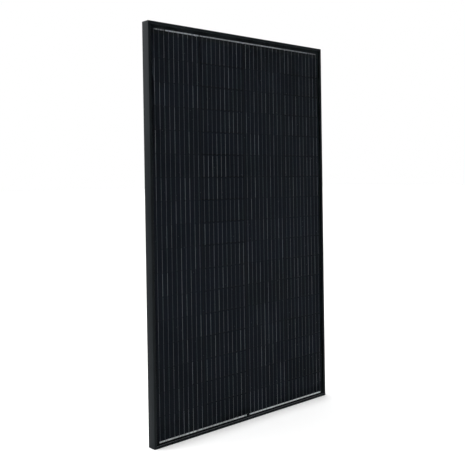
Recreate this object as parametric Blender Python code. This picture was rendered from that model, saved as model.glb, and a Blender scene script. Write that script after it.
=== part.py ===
"""Framed photovoltaic panel standing on its short edge, as an assembly of its separate pieces.

Four aluminium rails, cut at 45 degrees and joined by corner keys, hold a glass laminate in a
rubber edge seal. The laminate is a front glass, two sheets of encapsulant with the cell strings
and their ribbons between them, and a backsheet. A junction box with a hinged lid is glued to
the backsheet.

X is the panel's width, Z its height, and -Y is the side that faces the sun. The origin is in the
middle of the plane of the frame's rear flanges, where the panel is held. Pieces are placed from
the middle of the bottom edge, and one empty moves them all. All sizes are in metres.
"""

import math

import bmesh
import bpy
from mathutils.geometry import tessellate_polygon

# ------------------------------------------------------------------ driving dimensions
PANEL_WIDTH = 0.992
PANEL_HEIGHT = 1.640
PANEL_DEPTH = 0.040
GAP = 0.0003                    # clearance kept between pieces that touch on the real panel

# Frame rail section: reach is measured inwards from the outer face, depth from the front.
LIP_REACH = 0.011
LIP_THICKNESS = 0.0014
LIP_CHAMFER = 0.0004
OUTER_WALL = 0.0018
INNER_WALL = 0.0016
SHELF_THICKNESS = 0.0015
CHAMBER_REACH = 0.0125
FLANGE_THICKNESS = 0.0016
LONG_FLANGE_REACH = 0.035
SHORT_FLANGE_REACH = 0.025
FRONT_EDGE_RADIUS = 0.0012
REAR_EDGE_CHAMFER = 0.0005

# Holes in the rear flange of the two long rails.
SLOT_LENGTH = 0.014
SLOT_WIDTH = 0.009
SLOT_END_FLAT = 0.00002         # straight left between the two corner arcs of a slot's end
SLOT_REACH = 0.0235
SLOT_PITCHES = (1.190, 0.790)
EARTH_HOLE_RADIUS = 0.0021
EARTH_HOLE_PITCH = 0.300
EARTH_HOLE_SEGMENTS = 12

# Corner keys pushed into the rails' chambers.
KEY_ARM = 0.060
KEY_NOTCHES = 3
KEY_NOTCH_PITCH = 0.012
KEY_NOTCH_START = 0.022
KEY_NOTCH_WIDTH = 0.004
KEY_NOTCH_DEPTH = 0.0012
KEY_TIP_CHAMFER = 0.002

# Laminate: its layers lie one behind another, from the lip to the frame's shelf.
SEAL_WEB = 0.001
SEAL_LEG_REACH = 0.0105
LAYER_THICKNESSES = (
    ("seal_front_leg", 0.0005),
    ("glass", 0.0032),
    ("front_encapsulant", 0.0004),
    ("wires", 0.00025),
    ("cells", 0.00025),
    ("lead_insulation", 0.00025),
    ("leads", 0.00025),
    ("rear_encapsulant", 0.0004),
    ("backsheet", 0.0004),
    ("seal_rear_leg", 0.0005),
)

# Cell strings: four columns of wide, low cells.
STRINGS = 4
CELLS_PER_STRING = 17
STRING_PITCH = 0.2397
CELL_WIDTH = 0.2352
CELL_GAP = 0.0013
FIRST_CELL_FROM_TOP = 0.0436
LAST_CELL_FROM_BOTTOM = 0.0269
WIRES_PER_STRING = 10
WIRE_PITCH = 0.0235
WIRE_WIDTH = 0.0014
WIRE_BAR_HEIGHT = 0.0025        # solder bar across the ends of a string's wires
CELL_NECK = 0.020               # interconnect that carries one cell to the next

# Bus ribbons across the ends of the strings.
TOP_RIBBON_FROM_TOP = 0.0275
TOP_RIBBON_WIDTH = 0.0065
BOTTOM_RIBBON_FROM_BOTTOM = 0.0200
BOTTOM_RIBBON_WIDTH = 0.0080
TERMINAL_RIBBON_SPAN = (0.2430, 0.4095)     # distances from the panel's middle line
TERMINAL_TAB_SPAN = (0.4145, 0.4640)
LINK_RIBBON_HALF = 0.2380
BOTTOM_RIBBON_SPAN = (0.0090, 0.4680)

# Insulated leads behind the cells, from the top ribbons to the junction box.
LEAD_WIDTH = 0.006
LEAD_RISER_X = 0.2590
LEAD_RUN_FROM_TOP = 0.060
INSULATION_MARGIN = 0.005

# Junction box: its own frame has its middle at the origin and the panel's Y.
BOX_WIDTH = 0.150
BOX_HEIGHT = 0.100
BOX_RADIUS = 0.010
BOX_FROM_TOP = 0.125
BOX_WALL = 0.0022
BOX_FLOOR = 0.002
BOX_INNER_DEPTH = 0.0177
BOX_PAD_THICKNESS = 0.0012
BOX_PAD_INSET = 0.003
PAD_WINDOW_MARGIN = 0.003
WINDOW_WIDTH = 0.084
WINDOW_HEIGHT = 0.012
WINDOW_Z = 0.032
GASKET_THICKNESS = 0.001
GASKET_INSET = 0.0004
GASKET_WIDTH = 0.0014
TERMINAL_PITCH = 0.030
POST_WIDTH = 0.012
POST_HEIGHT = 0.020
POST_Z = 0.008
POST_RISE = 0.005
TERMINAL_WIDTH = 0.014
TERMINAL_HEIGHT = 0.024
TERMINAL_THICKNESS = 0.001
TERMINAL_TAB_RISE = 0.005
LEAD_TAIL_WIDTH = 0.005
LEAD_TAIL_THICKNESS = 0.00025
LEAD_TAIL_END_Z = 0.014
DIODE_Z = 0.002
DIODE_RADIUS = 0.0045
DIODE_BODY_LENGTH = 0.009
DIODE_WIRE_RADIUS = 0.00065
DIODE_LENGTH = 0.028

# Cable glands in the box's lower wall. Lengths run out of the box.
GLAND_X = 0.045
GLAND_HOLE_RADIUS = 0.006
GLAND_BORE_RADIUS = 0.0035
GLAND_FLANGE_RADIUS = 0.0075
GLAND_FLANGE_THICKNESS = 0.0012
GLAND_NECK_RADIUS = 0.0057
GLAND_NECK_LENGTH = 0.014
GLAND_NUT_APOTHEM = 0.0078
GLAND_NUT_HEX_LENGTH = 0.009
GLAND_NUT_SHOULDER = 0.0004
GLAND_NUT_TIP_RADIUS = 0.0052
GLAND_NUT_TIP_WALL = 0.0022

# Lid and its hinge: the lid's own frame has its origin on the hinge axis.
LID_THICKNESS = 0.002
LID_PANEL_RISE = 0.001
LID_PANEL_INSET = 0.012
LID_PANEL_RADIUS = 0.006
LID_SKIRT_CLEARANCE = 0.0005
LID_SKIRT_WALL = 0.0016
LID_SKIRT_DEPTH = 0.0025
LID_TAB_WIDTH = 0.016
LID_TAB_REACH = 0.0035
LID_TAB_X = 0.040
LID_TAB_RADIUS = 0.001
HINGE_RISE = 0.0038
KNUCKLE_RADIUS = 0.0032
KNUCKLE_INNER_X = 0.022
KNUCKLE_OUTER_X = 0.032
KNUCKLE_SIDE_GAP = 0.0005
KNUCKLE_FOOT = 0.0085
KNUCKLE_FOOT_ANGLE = 0.75 * math.pi         # where a knuckle's round leaves for its foot
KNUCKLE_STEPS = 14
LID_KNUCKLE_STEPS = 18
KNUCKLE_WEB_INSET = 0.0002
EMBED = 0.001                   # how far a joined-on shape starts inside its body
PIN_RADIUS = 0.0012
PIN_BORE_RADIUS = 0.0015
PIN_HALF_LENGTH = 0.034

ROUND_SEGMENTS = 24
SMALL_ROUND_SEGMENTS = 16
CORNER_STEPS = 4
SMALL_CORNER_STEPS = 2
SMOOTH_ANGLE = math.radians(35)

# ------------------------------------------------------------------ finishes
# name: (colour, roughness, metallic)
FINISHES = {
    "black_anodised": ((0.045, 0.048, 0.052), 0.42, 0.85),
    "mill_aluminium": ((0.60, 0.61, 0.62), 0.40, 1.0),
    "black_rubber": ((0.015, 0.015, 0.015), 0.75, 0.0),
    "solar_glass": ((0.020, 0.024, 0.028), 0.12, 0.0),
    "clear_resin": ((0.10, 0.11, 0.12), 0.25, 0.0),
    "silicon": ((0.010, 0.012, 0.018), 0.30, 0.0),
    "tinned_copper": ((0.42, 0.43, 0.44), 0.35, 1.0),
    "black_film": ((0.020, 0.020, 0.022), 0.55, 0.0),
    "black_plastic": ((0.022, 0.022, 0.023), 0.48, 0.0),
    "bare_copper": ((0.70, 0.36, 0.22), 0.32, 1.0),
    "epoxy_body": ((0.030, 0.030, 0.032), 0.50, 0.0),
    "steel": ((0.55, 0.56, 0.57), 0.30, 1.0),
    "silicone_glue": ((0.045, 0.045, 0.045), 0.65, 0.0),
}


# ------------------------------------------------------------------ derived places
def from_front(depth):
    """Y of a plane that lies a depth behind the frame's front face."""
    return depth - PANEL_DEPTH / 2


def stack_layers():
    """Front and back depth of each laminate layer, with the usual gap between layers."""
    layers = {}
    depth = LIP_THICKNESS
    for name, thickness in LAYER_THICKNESSES:
        front = depth + GAP
        depth = front + thickness
        layers[name] = (front, depth)
    return layers


LAYERS = stack_layers()
SHELF_DEPTH = LAYERS["seal_rear_leg"][1] + GAP
CHAMBER_FRONT = SHELF_DEPTH + SHELF_THICKNESS
CHAMBER_BACK = PANEL_DEPTH - FLANGE_THICKNESS
LAMINATE_INSET = OUTER_WALL + GAP + SEAL_WEB + GAP
ROW_PITCH = (PANEL_HEIGHT - FIRST_CELL_FROM_TOP - LAST_CELL_FROM_BOTTOM) / CELLS_PER_STRING
TOP_RIBBON_Z = PANEL_HEIGHT - TOP_RIBBON_FROM_TOP
BOX_Z = PANEL_HEIGHT - BOX_FROM_TOP

PAD_FRONT = LAYERS["backsheet"][1] + GAP
BOX_FRONT = PAD_FRONT + BOX_PAD_THICKNESS + GAP
BOX_FLOOR_BACK = BOX_FRONT + BOX_FLOOR
BOX_RIM = BOX_FLOOR_BACK + BOX_INNER_DEPTH
GASKET_FRONT = BOX_RIM + GAP
LID_FRONT = GASKET_FRONT + GASKET_THICKNESS + GAP
HINGE_Z = BOX_HEIGHT / 2 + HINGE_RISE
TERMINAL_FRONT = BOX_FLOOR_BACK + POST_RISE + GAP
TERMINAL_BACK = TERMINAL_FRONT + TERMINAL_THICKNESS
GLAND_DEPTH = (BOX_FLOOR_BACK + BOX_RIM) / 2


# ------------------------------------------------------------------ scene helpers
def clear_scene():
    """Remove every object that the file starts with."""
    for item in list(bpy.data.objects):
        bpy.data.objects.remove(item, do_unlink=True)


def make_material(name, finish):
    """One Principled material for one piece."""
    colour, roughness, metallic = FINISHES[finish]
    material = bpy.data.materials.new(name + "_finish")
    material.use_nodes = True
    shader = material.node_tree.nodes["Principled BSDF"]
    shader.inputs["Base Color"].default_value = (*colour, 1.0)
    shader.inputs["Roughness"].default_value = roughness
    shader.inputs["Metallic"].default_value = metallic
    return material


def add_empty(name, location=(0, 0, 0), parent=None):
    """A guide that its pieces hang from."""
    empty = bpy.data.objects.new(name, None)
    empty.location = location
    empty.parent = parent
    bpy.context.scene.collection.objects.link(empty)
    return empty


def add_mesh(name, bm, location=(0, 0, 0), rotation=(0, 0, 0), parent=None):
    """Turn a bmesh into an object, with its faces pointing out."""
    bmesh.ops.recalc_face_normals(bm, faces=bm.faces)
    mesh = bpy.data.meshes.new(name)
    bm.to_mesh(mesh)
    bm.free()
    item = bpy.data.objects.new(name, mesh)
    item.location = location
    item.rotation_euler = rotation
    item.parent = parent
    bpy.context.scene.collection.objects.link(item)
    return item


def add_piece(name, bm, finish, smooth=False, **place):
    """A real piece of the panel: an object with its own material."""
    item = add_mesh(name, bm, **place)
    item.data.materials.append(make_material(name, finish))
    if smooth:
        item.data.shade_smooth()
        item.data.set_sharp_from_angle(angle=SMOOTH_ANGLE)
    return item


def add_cutter(name, bm, **place):
    """A shape that only takes part in a Boolean."""
    cutter = add_mesh(name, bm, **place)
    cutter.hide_render = True
    cutter.display_type = "WIRE"
    return cutter


def combine(item, other, operation):
    """Cut another shape out of a piece, or join it on."""
    modifier = item.modifiers.new(operation.lower() + "_" + other.name, "BOOLEAN")
    modifier.operation = operation
    modifier.object = other
    modifier.solver = "EXACT"


# ------------------------------------------------------------------ shape helpers
def bridge(bm, first, second):
    """Quads between two closed rows of vertices."""
    count = len(first)
    for i in range(count):
        j = (i + 1) % count
        bm.faces.new((first[i], first[j], second[j], second[i]))


def fill(bm, rows):
    """Triangles over a flat outline and the holes in it."""
    corners = [corner for row in rows for corner in row]
    for triangle in tessellate_polygon([[v.co for v in row] for row in rows]):
        bm.faces.new([corners[i] for i in triangle])


def add_prism(bm, outlines, low, high, place):
    """Extrude a flat outline, and any holes in it, between two levels.

    place is a function such as along_y, which turns (u, v, level) into a point.
    """
    ends = []
    for level in (low, high):
        ends.append([[bm.verts.new(place(u, v, level)) for u, v in row] for row in outlines])
    for first, second in zip(*ends):
        bridge(bm, first, second)
    for rows in ends:
        fill(bm, rows)


def along_y(u, v, level):
    """Outline in X and Z, extruded through the panel's depth."""
    return (u, from_front(level), v)


def along_x(u, v, level):
    """Outline in Y and Z, extruded along X."""
    return (level, u, v)


def along_z(u, v, level):
    """Outline in X and Y, extruded along Z."""
    return (u, v, level)


def rectangle(left, right, low, high):
    """Outline of a rectangle."""
    return [(left, low), (right, low), (right, high), (left, high)]


def add_box(bm, x_range, depth_range, z_range):
    """A block between two X, two depths behind the frame's front and two Z."""
    add_prism(bm, [rectangle(*x_range, *z_range)], depth_range[0], depth_range[1], along_y)


def add_sheet(bm, inset, layer):
    """A flat sheet over the whole panel, inset from its outer faces."""
    half = PANEL_WIDTH / 2 - inset
    add_box(bm, (-half, half), LAYERS[layer], (inset, PANEL_HEIGHT - inset))


def arc_points(centre, radius, start, end, steps):
    """Points on an arc, both ends included. Angles are in radians."""
    points = []
    for i in range(steps + 1):
        angle = start + (end - start) * i / steps
        points.append((centre[0] + radius * math.cos(angle), centre[1] + radius * math.sin(angle)))
    return points


def circle_points(centre, radius, segments=ROUND_SEGMENTS):
    """Outline of a circle."""
    last = 2 * math.pi * (1 - 1 / segments)
    return arc_points(centre, radius, 0, last, segments - 1)


def rounded_rectangle(width, height, radius, steps=CORNER_STEPS):
    """Outline of a rectangle around the origin with round corners."""
    points = []
    corners = ((1, 1), (-1, 1), (-1, -1), (1, -1))
    for quarter, (side_u, side_v) in enumerate(corners):
        centre = (side_u * (width / 2 - radius), side_v * (height / 2 - radius))
        start = quarter * math.pi / 2
        points += arc_points(centre, radius, start, start + math.pi / 2, steps)
    return points


def moved(outline, u, v):
    """An outline shifted in its own plane."""
    return [(x + u, y + v) for x, y in outline]


def inset_rectangle(inset):
    """The junction box's outline, pulled in by a distance."""
    return rounded_rectangle(BOX_WIDTH - 2 * inset, BOX_HEIGHT - 2 * inset, BOX_RADIUS - inset)


def add_turned(bm, profile, segments=ROUND_SEGMENTS):
    """Turn a closed profile round Z.

    Each profile point is (radius, height) or (apothem, height, "hex"). A profile whose first
    and last points have no radius is closed by its two poles.
    """
    rings = []
    for point in profile:
        radius, height = point[:2]
        hexagonal = len(point) > 2
        if radius == 0:
            rings.append([bm.verts.new((0, 0, height))])
            continue
        ring = []
        for i in range(segments):
            angle = 2 * math.pi * i / segments
            reach = radius
            if hexagonal:
                reach = radius / math.cos(angle % (math.pi / 3) - math.pi / 6)
            ring.append(bm.verts.new((reach * math.cos(angle), reach * math.sin(angle), height)))
        rings.append(ring)
    poles = len(rings[0]) == 1
    pairs = list(zip(rings, rings[1:]))
    if not poles:
        pairs.append((rings[-1], rings[0]))
    for first, second in pairs:
        if len(first) == 1 or len(second) == 1:
            pole, ring = (first, second) if len(first) == 1 else (second, first)
            for i in range(segments):
                bm.faces.new((pole[0], ring[i], ring[(i + 1) % segments]))
        else:
            bridge(bm, first, second)


# ------------------------------------------------------------------ frame
def rail_section(flange_reach):
    """Outer outline and chamber outline of a rail, as (reach, depth) points."""
    radius = FRONT_EDGE_RADIUS
    front_edge = arc_points((radius, radius), radius, math.pi, 1.5 * math.pi, CORNER_STEPS)
    outer = front_edge + [
        (LIP_REACH - LIP_CHAMFER, 0),
        (LIP_REACH, LIP_CHAMFER),
        (LIP_REACH, LIP_THICKNESS),
        (OUTER_WALL, LIP_THICKNESS),
        (OUTER_WALL, SHELF_DEPTH),
        (CHAMBER_REACH, SHELF_DEPTH),
        (CHAMBER_REACH, CHAMBER_BACK),
        (flange_reach, CHAMBER_BACK),
        (flange_reach, PANEL_DEPTH),
        (REAR_EDGE_CHAMFER, PANEL_DEPTH),
        (0, PANEL_DEPTH - REAR_EDGE_CHAMFER),
    ]
    chamber = [
        (OUTER_WALL, CHAMBER_FRONT),
        (CHAMBER_REACH - INNER_WALL, CHAMBER_FRONT),
        (CHAMBER_REACH - INNER_WALL, CHAMBER_BACK),
        (OUTER_WALL, CHAMBER_BACK),
    ]
    return outer, chamber


def build_rail(length, flange_reach):
    """A rail along X with its outer face at Z = 0 and both ends cut at 45 degrees."""
    bm = bmesh.new()
    mitre_gap = GAP / math.sqrt(2)
    ends = []
    for side in (-1, 1):
        rows = []
        for loop in rail_section(flange_reach):
            row = []
            for reach, depth in loop:
                x = side * (length / 2 - reach - mitre_gap)
                row.append(bm.verts.new((x, from_front(depth), reach)))
            rows.append(row)
        ends.append(rows)
    for first, second in zip(*ends):
        bridge(bm, first, second)
    for rows in ends:
        fill(bm, rows)
    return bm


def build_flange_holes():
    """Mounting slots and earthing holes, in a rail's own frame."""
    bm = bmesh.new()
    low = CHAMBER_BACK - EMBED
    high = PANEL_DEPTH + EMBED
    slot = rounded_rectangle(SLOT_LENGTH, SLOT_WIDTH, (SLOT_WIDTH - SLOT_END_FLAT) / 2)
    for pitch in SLOT_PITCHES:
        for side in (-1, 1):
            add_prism(bm, [moved(slot, side * pitch / 2, SLOT_REACH)], low, high, along_y)
    for side in (-1, 1):
        centre = (side * EARTH_HOLE_PITCH / 2, SLOT_REACH)
        hole = circle_points(centre, EARTH_HOLE_RADIUS, EARTH_HOLE_SEGMENTS)
        add_prism(bm, [hole], low, high, along_y)
    return bm


def make_frame(parent):
    """The four rails. Each one's inward direction is its own +Z."""
    rails = (
        ("frame_bottom", PANEL_WIDTH, SHORT_FLANGE_REACH, (0, 0, 0), 0),
        ("frame_right", PANEL_HEIGHT, LONG_FLANGE_REACH, (PANEL_WIDTH / 2, 0, PANEL_HEIGHT / 2), -90),
        ("frame_top", PANEL_WIDTH, SHORT_FLANGE_REACH, (0, 0, PANEL_HEIGHT), 180),
        ("frame_left", PANEL_HEIGHT, LONG_FLANGE_REACH, (-PANEL_WIDTH / 2, 0, PANEL_HEIGHT / 2), 90),
    )
    for name, length, flange_reach, location, turn in rails:
        place = {"location": location, "rotation": (0, math.radians(turn), 0), "parent": parent}
        rail = add_piece(name, build_rail(length, flange_reach), "black_anodised", **place)
        if flange_reach == LONG_FLANGE_REACH:
            holes = add_cutter("holes_" + name, build_flange_holes(), **place)
            combine(rail, holes, "DIFFERENCE")


def key_outline():
    """Outline of a corner key: two arms along +U and +V from the frame's corner."""
    low = OUTER_WALL + GAP
    high = CHAMBER_REACH - INNER_WALL - GAP
    arm = [(high, high)]
    for i in range(KEY_NOTCHES):
        start = KEY_NOTCH_START + i * KEY_NOTCH_PITCH
        arm.append((start, high))
        arm.append((start + KEY_NOTCH_DEPTH, high - KEY_NOTCH_DEPTH))
        arm.append((start + KEY_NOTCH_WIDTH - KEY_NOTCH_DEPTH, high - KEY_NOTCH_DEPTH))
        arm.append((start + KEY_NOTCH_WIDTH, high))
    arm.append((KEY_ARM - KEY_TIP_CHAMFER, high))
    arm.append((KEY_ARM, high - KEY_TIP_CHAMFER))
    arm.append((KEY_ARM, low + KEY_TIP_CHAMFER))
    arm.append((KEY_ARM - KEY_TIP_CHAMFER, low))
    other_arm = [(v, u) for u, v in reversed(arm[1:])]
    return arm + [(low, low)] + other_arm


def make_corner_keys(parent):
    """One key in each corner of the frame."""
    for side, side_name in ((-1, "left"), (1, "right")):
        for base, direction, level_name in ((PANEL_HEIGHT, -1, "top"), (0, 1, "bottom")):
            outline = []
            for u, v in key_outline():
                outline.append((side * (PANEL_WIDTH / 2 - u), base + direction * v))
            bm = bmesh.new()
            add_prism(bm, [outline], CHAMBER_FRONT + GAP, CHAMBER_BACK - GAP, along_y)
            name = "corner_key_" + level_name + "_" + side_name
            add_piece(name, bm, "mill_aluminium", parent=parent)


# ------------------------------------------------------------------ laminate
def make_edge_seal(parent):
    """The U-shaped rubber that grips the laminate all round."""
    outer = OUTER_WALL + GAP
    inner = outer + SEAL_WEB
    front, front_back = LAYERS["seal_front_leg"]
    rear_front, rear = LAYERS["seal_rear_leg"]
    section = (
        (outer, front),
        (SEAL_LEG_REACH, front),
        (SEAL_LEG_REACH, front_back),
        (inner, front_back),
        (inner, rear_front),
        (SEAL_LEG_REACH, rear_front),
        (SEAL_LEG_REACH, rear),
        (outer, rear),
    )
    bm = bmesh.new()
    corners = []
    for side, top in ((-1, False), (1, False), (1, True), (-1, True)):
        row = []
        for reach, depth in section:
            z = PANEL_HEIGHT - reach if top else reach
            row.append(bm.verts.new((side * (PANEL_WIDTH / 2 - reach), from_front(depth), z)))
        corners.append(row)
    for i in range(4):
        bridge(bm, corners[i], corners[(i + 1) % 4])
    add_piece("edge_seal", bm, "black_rubber", parent=parent)


def make_sheets(parent):
    """Glass, encapsulant sheets and backsheet. The rear two have a window for the leads."""
    sheets = (
        ("front_glass", "glass", "solar_glass"),
        ("front_encapsulant", "front_encapsulant", "clear_resin"),
        ("rear_encapsulant", "rear_encapsulant", "clear_resin"),
        ("backsheet", "backsheet", "black_film"),
    )
    window = bmesh.new()
    depths = (LAYERS["rear_encapsulant"][0] - GAP / 2, LAYERS["backsheet"][1] + GAP / 2)
    z_middle = BOX_Z + WINDOW_Z
    z_range = (z_middle - WINDOW_HEIGHT / 2, z_middle + WINDOW_HEIGHT / 2)
    add_box(window, (-WINDOW_WIDTH / 2, WINDOW_WIDTH / 2), depths, z_range)
    cutter = add_cutter("lead_window", window, parent=parent)
    for name, layer, finish in sheets:
        bm = bmesh.new()
        add_sheet(bm, LAMINATE_INSET, layer)
        sheet = add_piece(name, bm, finish, parent=parent)
        if name in ("rear_encapsulant", "backsheet"):
            combine(sheet, cutter, "DIFFERENCE")


def string_middle(index):
    """X of a string's middle line."""
    return (index - (STRINGS - 1) / 2) * STRING_PITCH


def string_outline(middle):
    """Outline of a string's cells, one above another, joined by a narrow neck across each gap."""
    outline = []
    for side, rows in ((1, range(CELLS_PER_STRING)), (-1, reversed(range(CELLS_PER_STRING)))):
        edge = middle + side * CELL_WIDTH / 2
        neck = middle + side * CELL_NECK / 2
        for row in rows:
            low = LAST_CELL_FROM_BOTTOM + row * ROW_PITCH + CELL_GAP / 2
            levels = (low, low + ROW_PITCH - CELL_GAP)[::side]
            outline += [(neck, levels[0]), (edge, levels[0]), (edge, levels[1]), (neck, levels[1])]
    return outline


def ladder_outlines(middle):
    """Outline of a string's wires and the two bars they end in, and of the spaces between wires."""
    low = BOTTOM_RIBBON_FROM_BOTTOM - WIRE_BAR_HEIGHT / 2
    high = TOP_RIBBON_Z + WIRE_BAR_HEIGHT / 2
    first = middle - (WIRES_PER_STRING - 1) / 2 * WIRE_PITCH
    last = middle + (WIRES_PER_STRING - 1) / 2 * WIRE_PITCH
    half = WIRE_WIDTH / 2
    rows = [rectangle(first - half, last + half, low, high)]
    for space in range(WIRES_PER_STRING - 1):
        x = first + space * WIRE_PITCH
        inner_low = low + WIRE_BAR_HEIGHT
        rows.append(rectangle(x + half, x + WIRE_PITCH - half, inner_low, high - WIRE_BAR_HEIGHT))
    return rows


def make_strings(parent):
    """The cells of each string, and the wires that run down their faces."""
    for index in range(STRINGS):
        middle = string_middle(index)
        cells = bmesh.new()
        add_prism(cells, [string_outline(middle)], *LAYERS["cells"], along_y)
        add_piece("cell_string_%d" % (index + 1), cells, "silicon", parent=parent)
        wires = bmesh.new()
        add_prism(wires, ladder_outlines(middle), *LAYERS["wires"], along_y)
        add_piece("cell_wires_%d" % (index + 1), wires, "tinned_copper", parent=parent)


def make_bus_ribbons(parent):
    """Ribbons that join the strings in series, and the two ends of the chain."""
    top = (TOP_RIBBON_Z - TOP_RIBBON_WIDTH / 2, TOP_RIBBON_Z + TOP_RIBBON_WIDTH / 2)
    half_bottom = BOTTOM_RIBBON_WIDTH / 2
    bottom = (BOTTOM_RIBBON_FROM_BOTTOM - half_bottom, BOTTOM_RIBBON_FROM_BOTTOM + half_bottom)
    ribbons = [("ribbon_top_link", (-LINK_RIBBON_HALF, LINK_RIBBON_HALF), top)]
    for side, side_name in ((-1, "left"), (1, "right")):
        spans = (
            ("ribbon_top_", TERMINAL_RIBBON_SPAN, top),
            ("ribbon_top_tab_", TERMINAL_TAB_SPAN, top),
            ("ribbon_bottom_", BOTTOM_RIBBON_SPAN, bottom),
        )
        for prefix, (near, far), z_range in spans:
            x_range = tuple(sorted((side * near, side * far)))
            ribbons.append((prefix + side_name, x_range, z_range))
    for name, x_range, z_range in ribbons:
        bm = bmesh.new()
        add_box(bm, x_range, LAYERS["cells"], z_range)
        add_piece(name, bm, "tinned_copper", parent=parent)


def make_leads(parent):
    """Leads from the top ribbons to the box's window, and the sheet that insulates them."""
    half = LEAD_WIDTH / 2
    run_z = PANEL_HEIGHT - LEAD_RUN_FROM_TOP
    exit_z = BOX_Z + WINDOW_Z - half
    for side, name in ((-1, "lead_left"), (1, "lead_right")):
        outline = (
            (LEAD_RISER_X - half, TOP_RIBBON_Z),
            (LEAD_RISER_X + half, TOP_RIBBON_Z),
            (LEAD_RISER_X + half, run_z - half),
            (TERMINAL_PITCH + half, run_z - half),
            (TERMINAL_PITCH + half, exit_z),
            (TERMINAL_PITCH - half, exit_z),
            (TERMINAL_PITCH - half, run_z + half),
            (LEAD_RISER_X - half, run_z + half),
        )
        bm = bmesh.new()
        add_prism(bm, [[(side * x, z) for x, z in outline]], *LAYERS["leads"], along_y)
        add_piece(name, bm, "tinned_copper", parent=parent)
    bm = bmesh.new()
    add_box(bm, (-half, half), LAYERS["leads"], (exit_z, TOP_RIBBON_Z))
    add_piece("lead_centre", bm, "tinned_copper", parent=parent)

    far = LEAD_RISER_X + half + INSULATION_MARGIN
    near = TERMINAL_PITCH + half + INSULATION_MARGIN
    high = run_z + half + INSULATION_MARGIN
    step = run_z - half - INSULATION_MARGIN
    low = exit_z - INSULATION_MARGIN
    outline = (
        (-far, high),
        (-far, step),
        (-near, step),
        (-near, low),
        (near, low),
        (near, step),
        (far, step),
        (far, high),
    )
    bm = bmesh.new()
    add_prism(bm, [outline], *LAYERS["lead_insulation"], along_y)
    add_piece("lead_insulation", bm, "black_film", parent=parent)


# ------------------------------------------------------------------ junction box
def hinge_y():
    """Y of the lid's hinge axis."""
    return from_front(LID_FRONT)


def base_knuckle_outline():
    """Y-Z outline of a hinge knuckle with its foot inside the box's upper wall."""
    centre = (hinge_y(), HINGE_Z)
    wall_z = BOX_HEIGHT / 2 - EMBED
    web_y = from_front(BOX_RIM - GAP)
    reach = centre[0] - web_y
    start = math.pi + math.acos(reach / KNUCKLE_RADIUS)
    end = 2 * math.pi + KNUCKLE_FOOT_ANGLE
    arc = arc_points(centre, KNUCKLE_RADIUS, start, end, KNUCKLE_STEPS)
    return [(web_y - KNUCKLE_FOOT, wall_z), (web_y, wall_z)] + arc


def lid_knuckle_outline():
    """Y-Z outline of the lid's knuckle and its web, around the hinge axis."""
    near = KNUCKLE_WEB_INSET
    far = LID_THICKNESS - KNUCKLE_WEB_INSET
    foot = -HINGE_RISE - EMBED
    start = -math.acos(far / KNUCKLE_RADIUS)
    end = 1.5 * math.pi + math.asin(near / KNUCKLE_RADIUS)
    arc = arc_points((0, 0), KNUCKLE_RADIUS, start, end, LID_KNUCKLE_STEPS)
    return [(near, foot), (far, foot)] + arc


def pin_bore(length_half):
    """A bore along the hinge axis, standing on Z before it is turned."""
    bm = bmesh.new()
    profile = (
        (0, -length_half),
        (PIN_BORE_RADIUS, -length_half),
        (PIN_BORE_RADIUS, length_half),
        (0, length_half),
    )
    add_turned(bm, profile, SMALL_ROUND_SEGMENTS)
    return bm


def build_gland_holes():
    """Two round holes through the box's lower wall."""
    bm = bmesh.new()
    low = -BOX_HEIGHT / 2 - EMBED
    high = -BOX_HEIGHT / 2 + BOX_WALL + EMBED
    for side in (-1, 1):
        centre = (side * GLAND_X, from_front(GLAND_DEPTH))
        add_prism(bm, [circle_points(centre, GLAND_HOLE_RADIUS)], low, high, along_z)
    return bm


def build_base_adds():
    """Hinge knuckles and the three posts that carry the terminals."""
    bm = bmesh.new()
    for side in (-1, 1):
        ends = sorted((side * KNUCKLE_INNER_X, side * KNUCKLE_OUTER_X))
        add_prism(bm, [base_knuckle_outline()], ends[0], ends[1], along_x)
    for index in (-1, 0, 1):
        x = index * TERMINAL_PITCH
        x_range = (x - POST_WIDTH / 2, x + POST_WIDTH / 2)
        depths = (BOX_FLOOR_BACK - EMBED, BOX_FLOOR_BACK + POST_RISE)
        add_box(bm, x_range, depths, (POST_Z - POST_HEIGHT / 2, POST_Z + POST_HEIGHT / 2))
    return bm


def make_box_base(parent):
    """The moulded tray: walls, floor, window, gland holes, knuckles and posts."""
    bm = bmesh.new()
    add_prism(bm, [inset_rectangle(0)], BOX_FRONT, BOX_RIM, along_y)
    base = add_piece("junction_box_base", bm, "black_plastic", smooth=True, parent=parent)
    hollow = bmesh.new()
    add_prism(hollow, [inset_rectangle(BOX_WALL)], BOX_FLOOR_BACK, PANEL_DEPTH, along_y)
    combine(base, add_cutter("cut_box_hollow", hollow, parent=parent), "DIFFERENCE")
    window = bmesh.new()
    half = WINDOW_HEIGHT / 2
    depths = (BOX_FRONT - EMBED, BOX_FLOOR_BACK + EMBED)
    add_box(window, (-WINDOW_WIDTH / 2, WINDOW_WIDTH / 2), depths, (WINDOW_Z - half, WINDOW_Z + half))
    combine(base, add_cutter("cut_box_window", window, parent=parent), "DIFFERENCE")
    combine(base, add_cutter("cut_gland_holes", build_gland_holes(), parent=parent), "DIFFERENCE")
    combine(base, add_cutter("add_box_fittings", build_base_adds(), parent=parent), "UNION")
    bore = add_cutter(
        "cut_base_pin_bore",
        pin_bore(KNUCKLE_OUTER_X + EMBED),
        location=(0, hinge_y(), HINGE_Z),
        rotation=(0, math.pi / 2, 0),
        parent=parent,
    )
    combine(base, bore, "DIFFERENCE")


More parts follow.
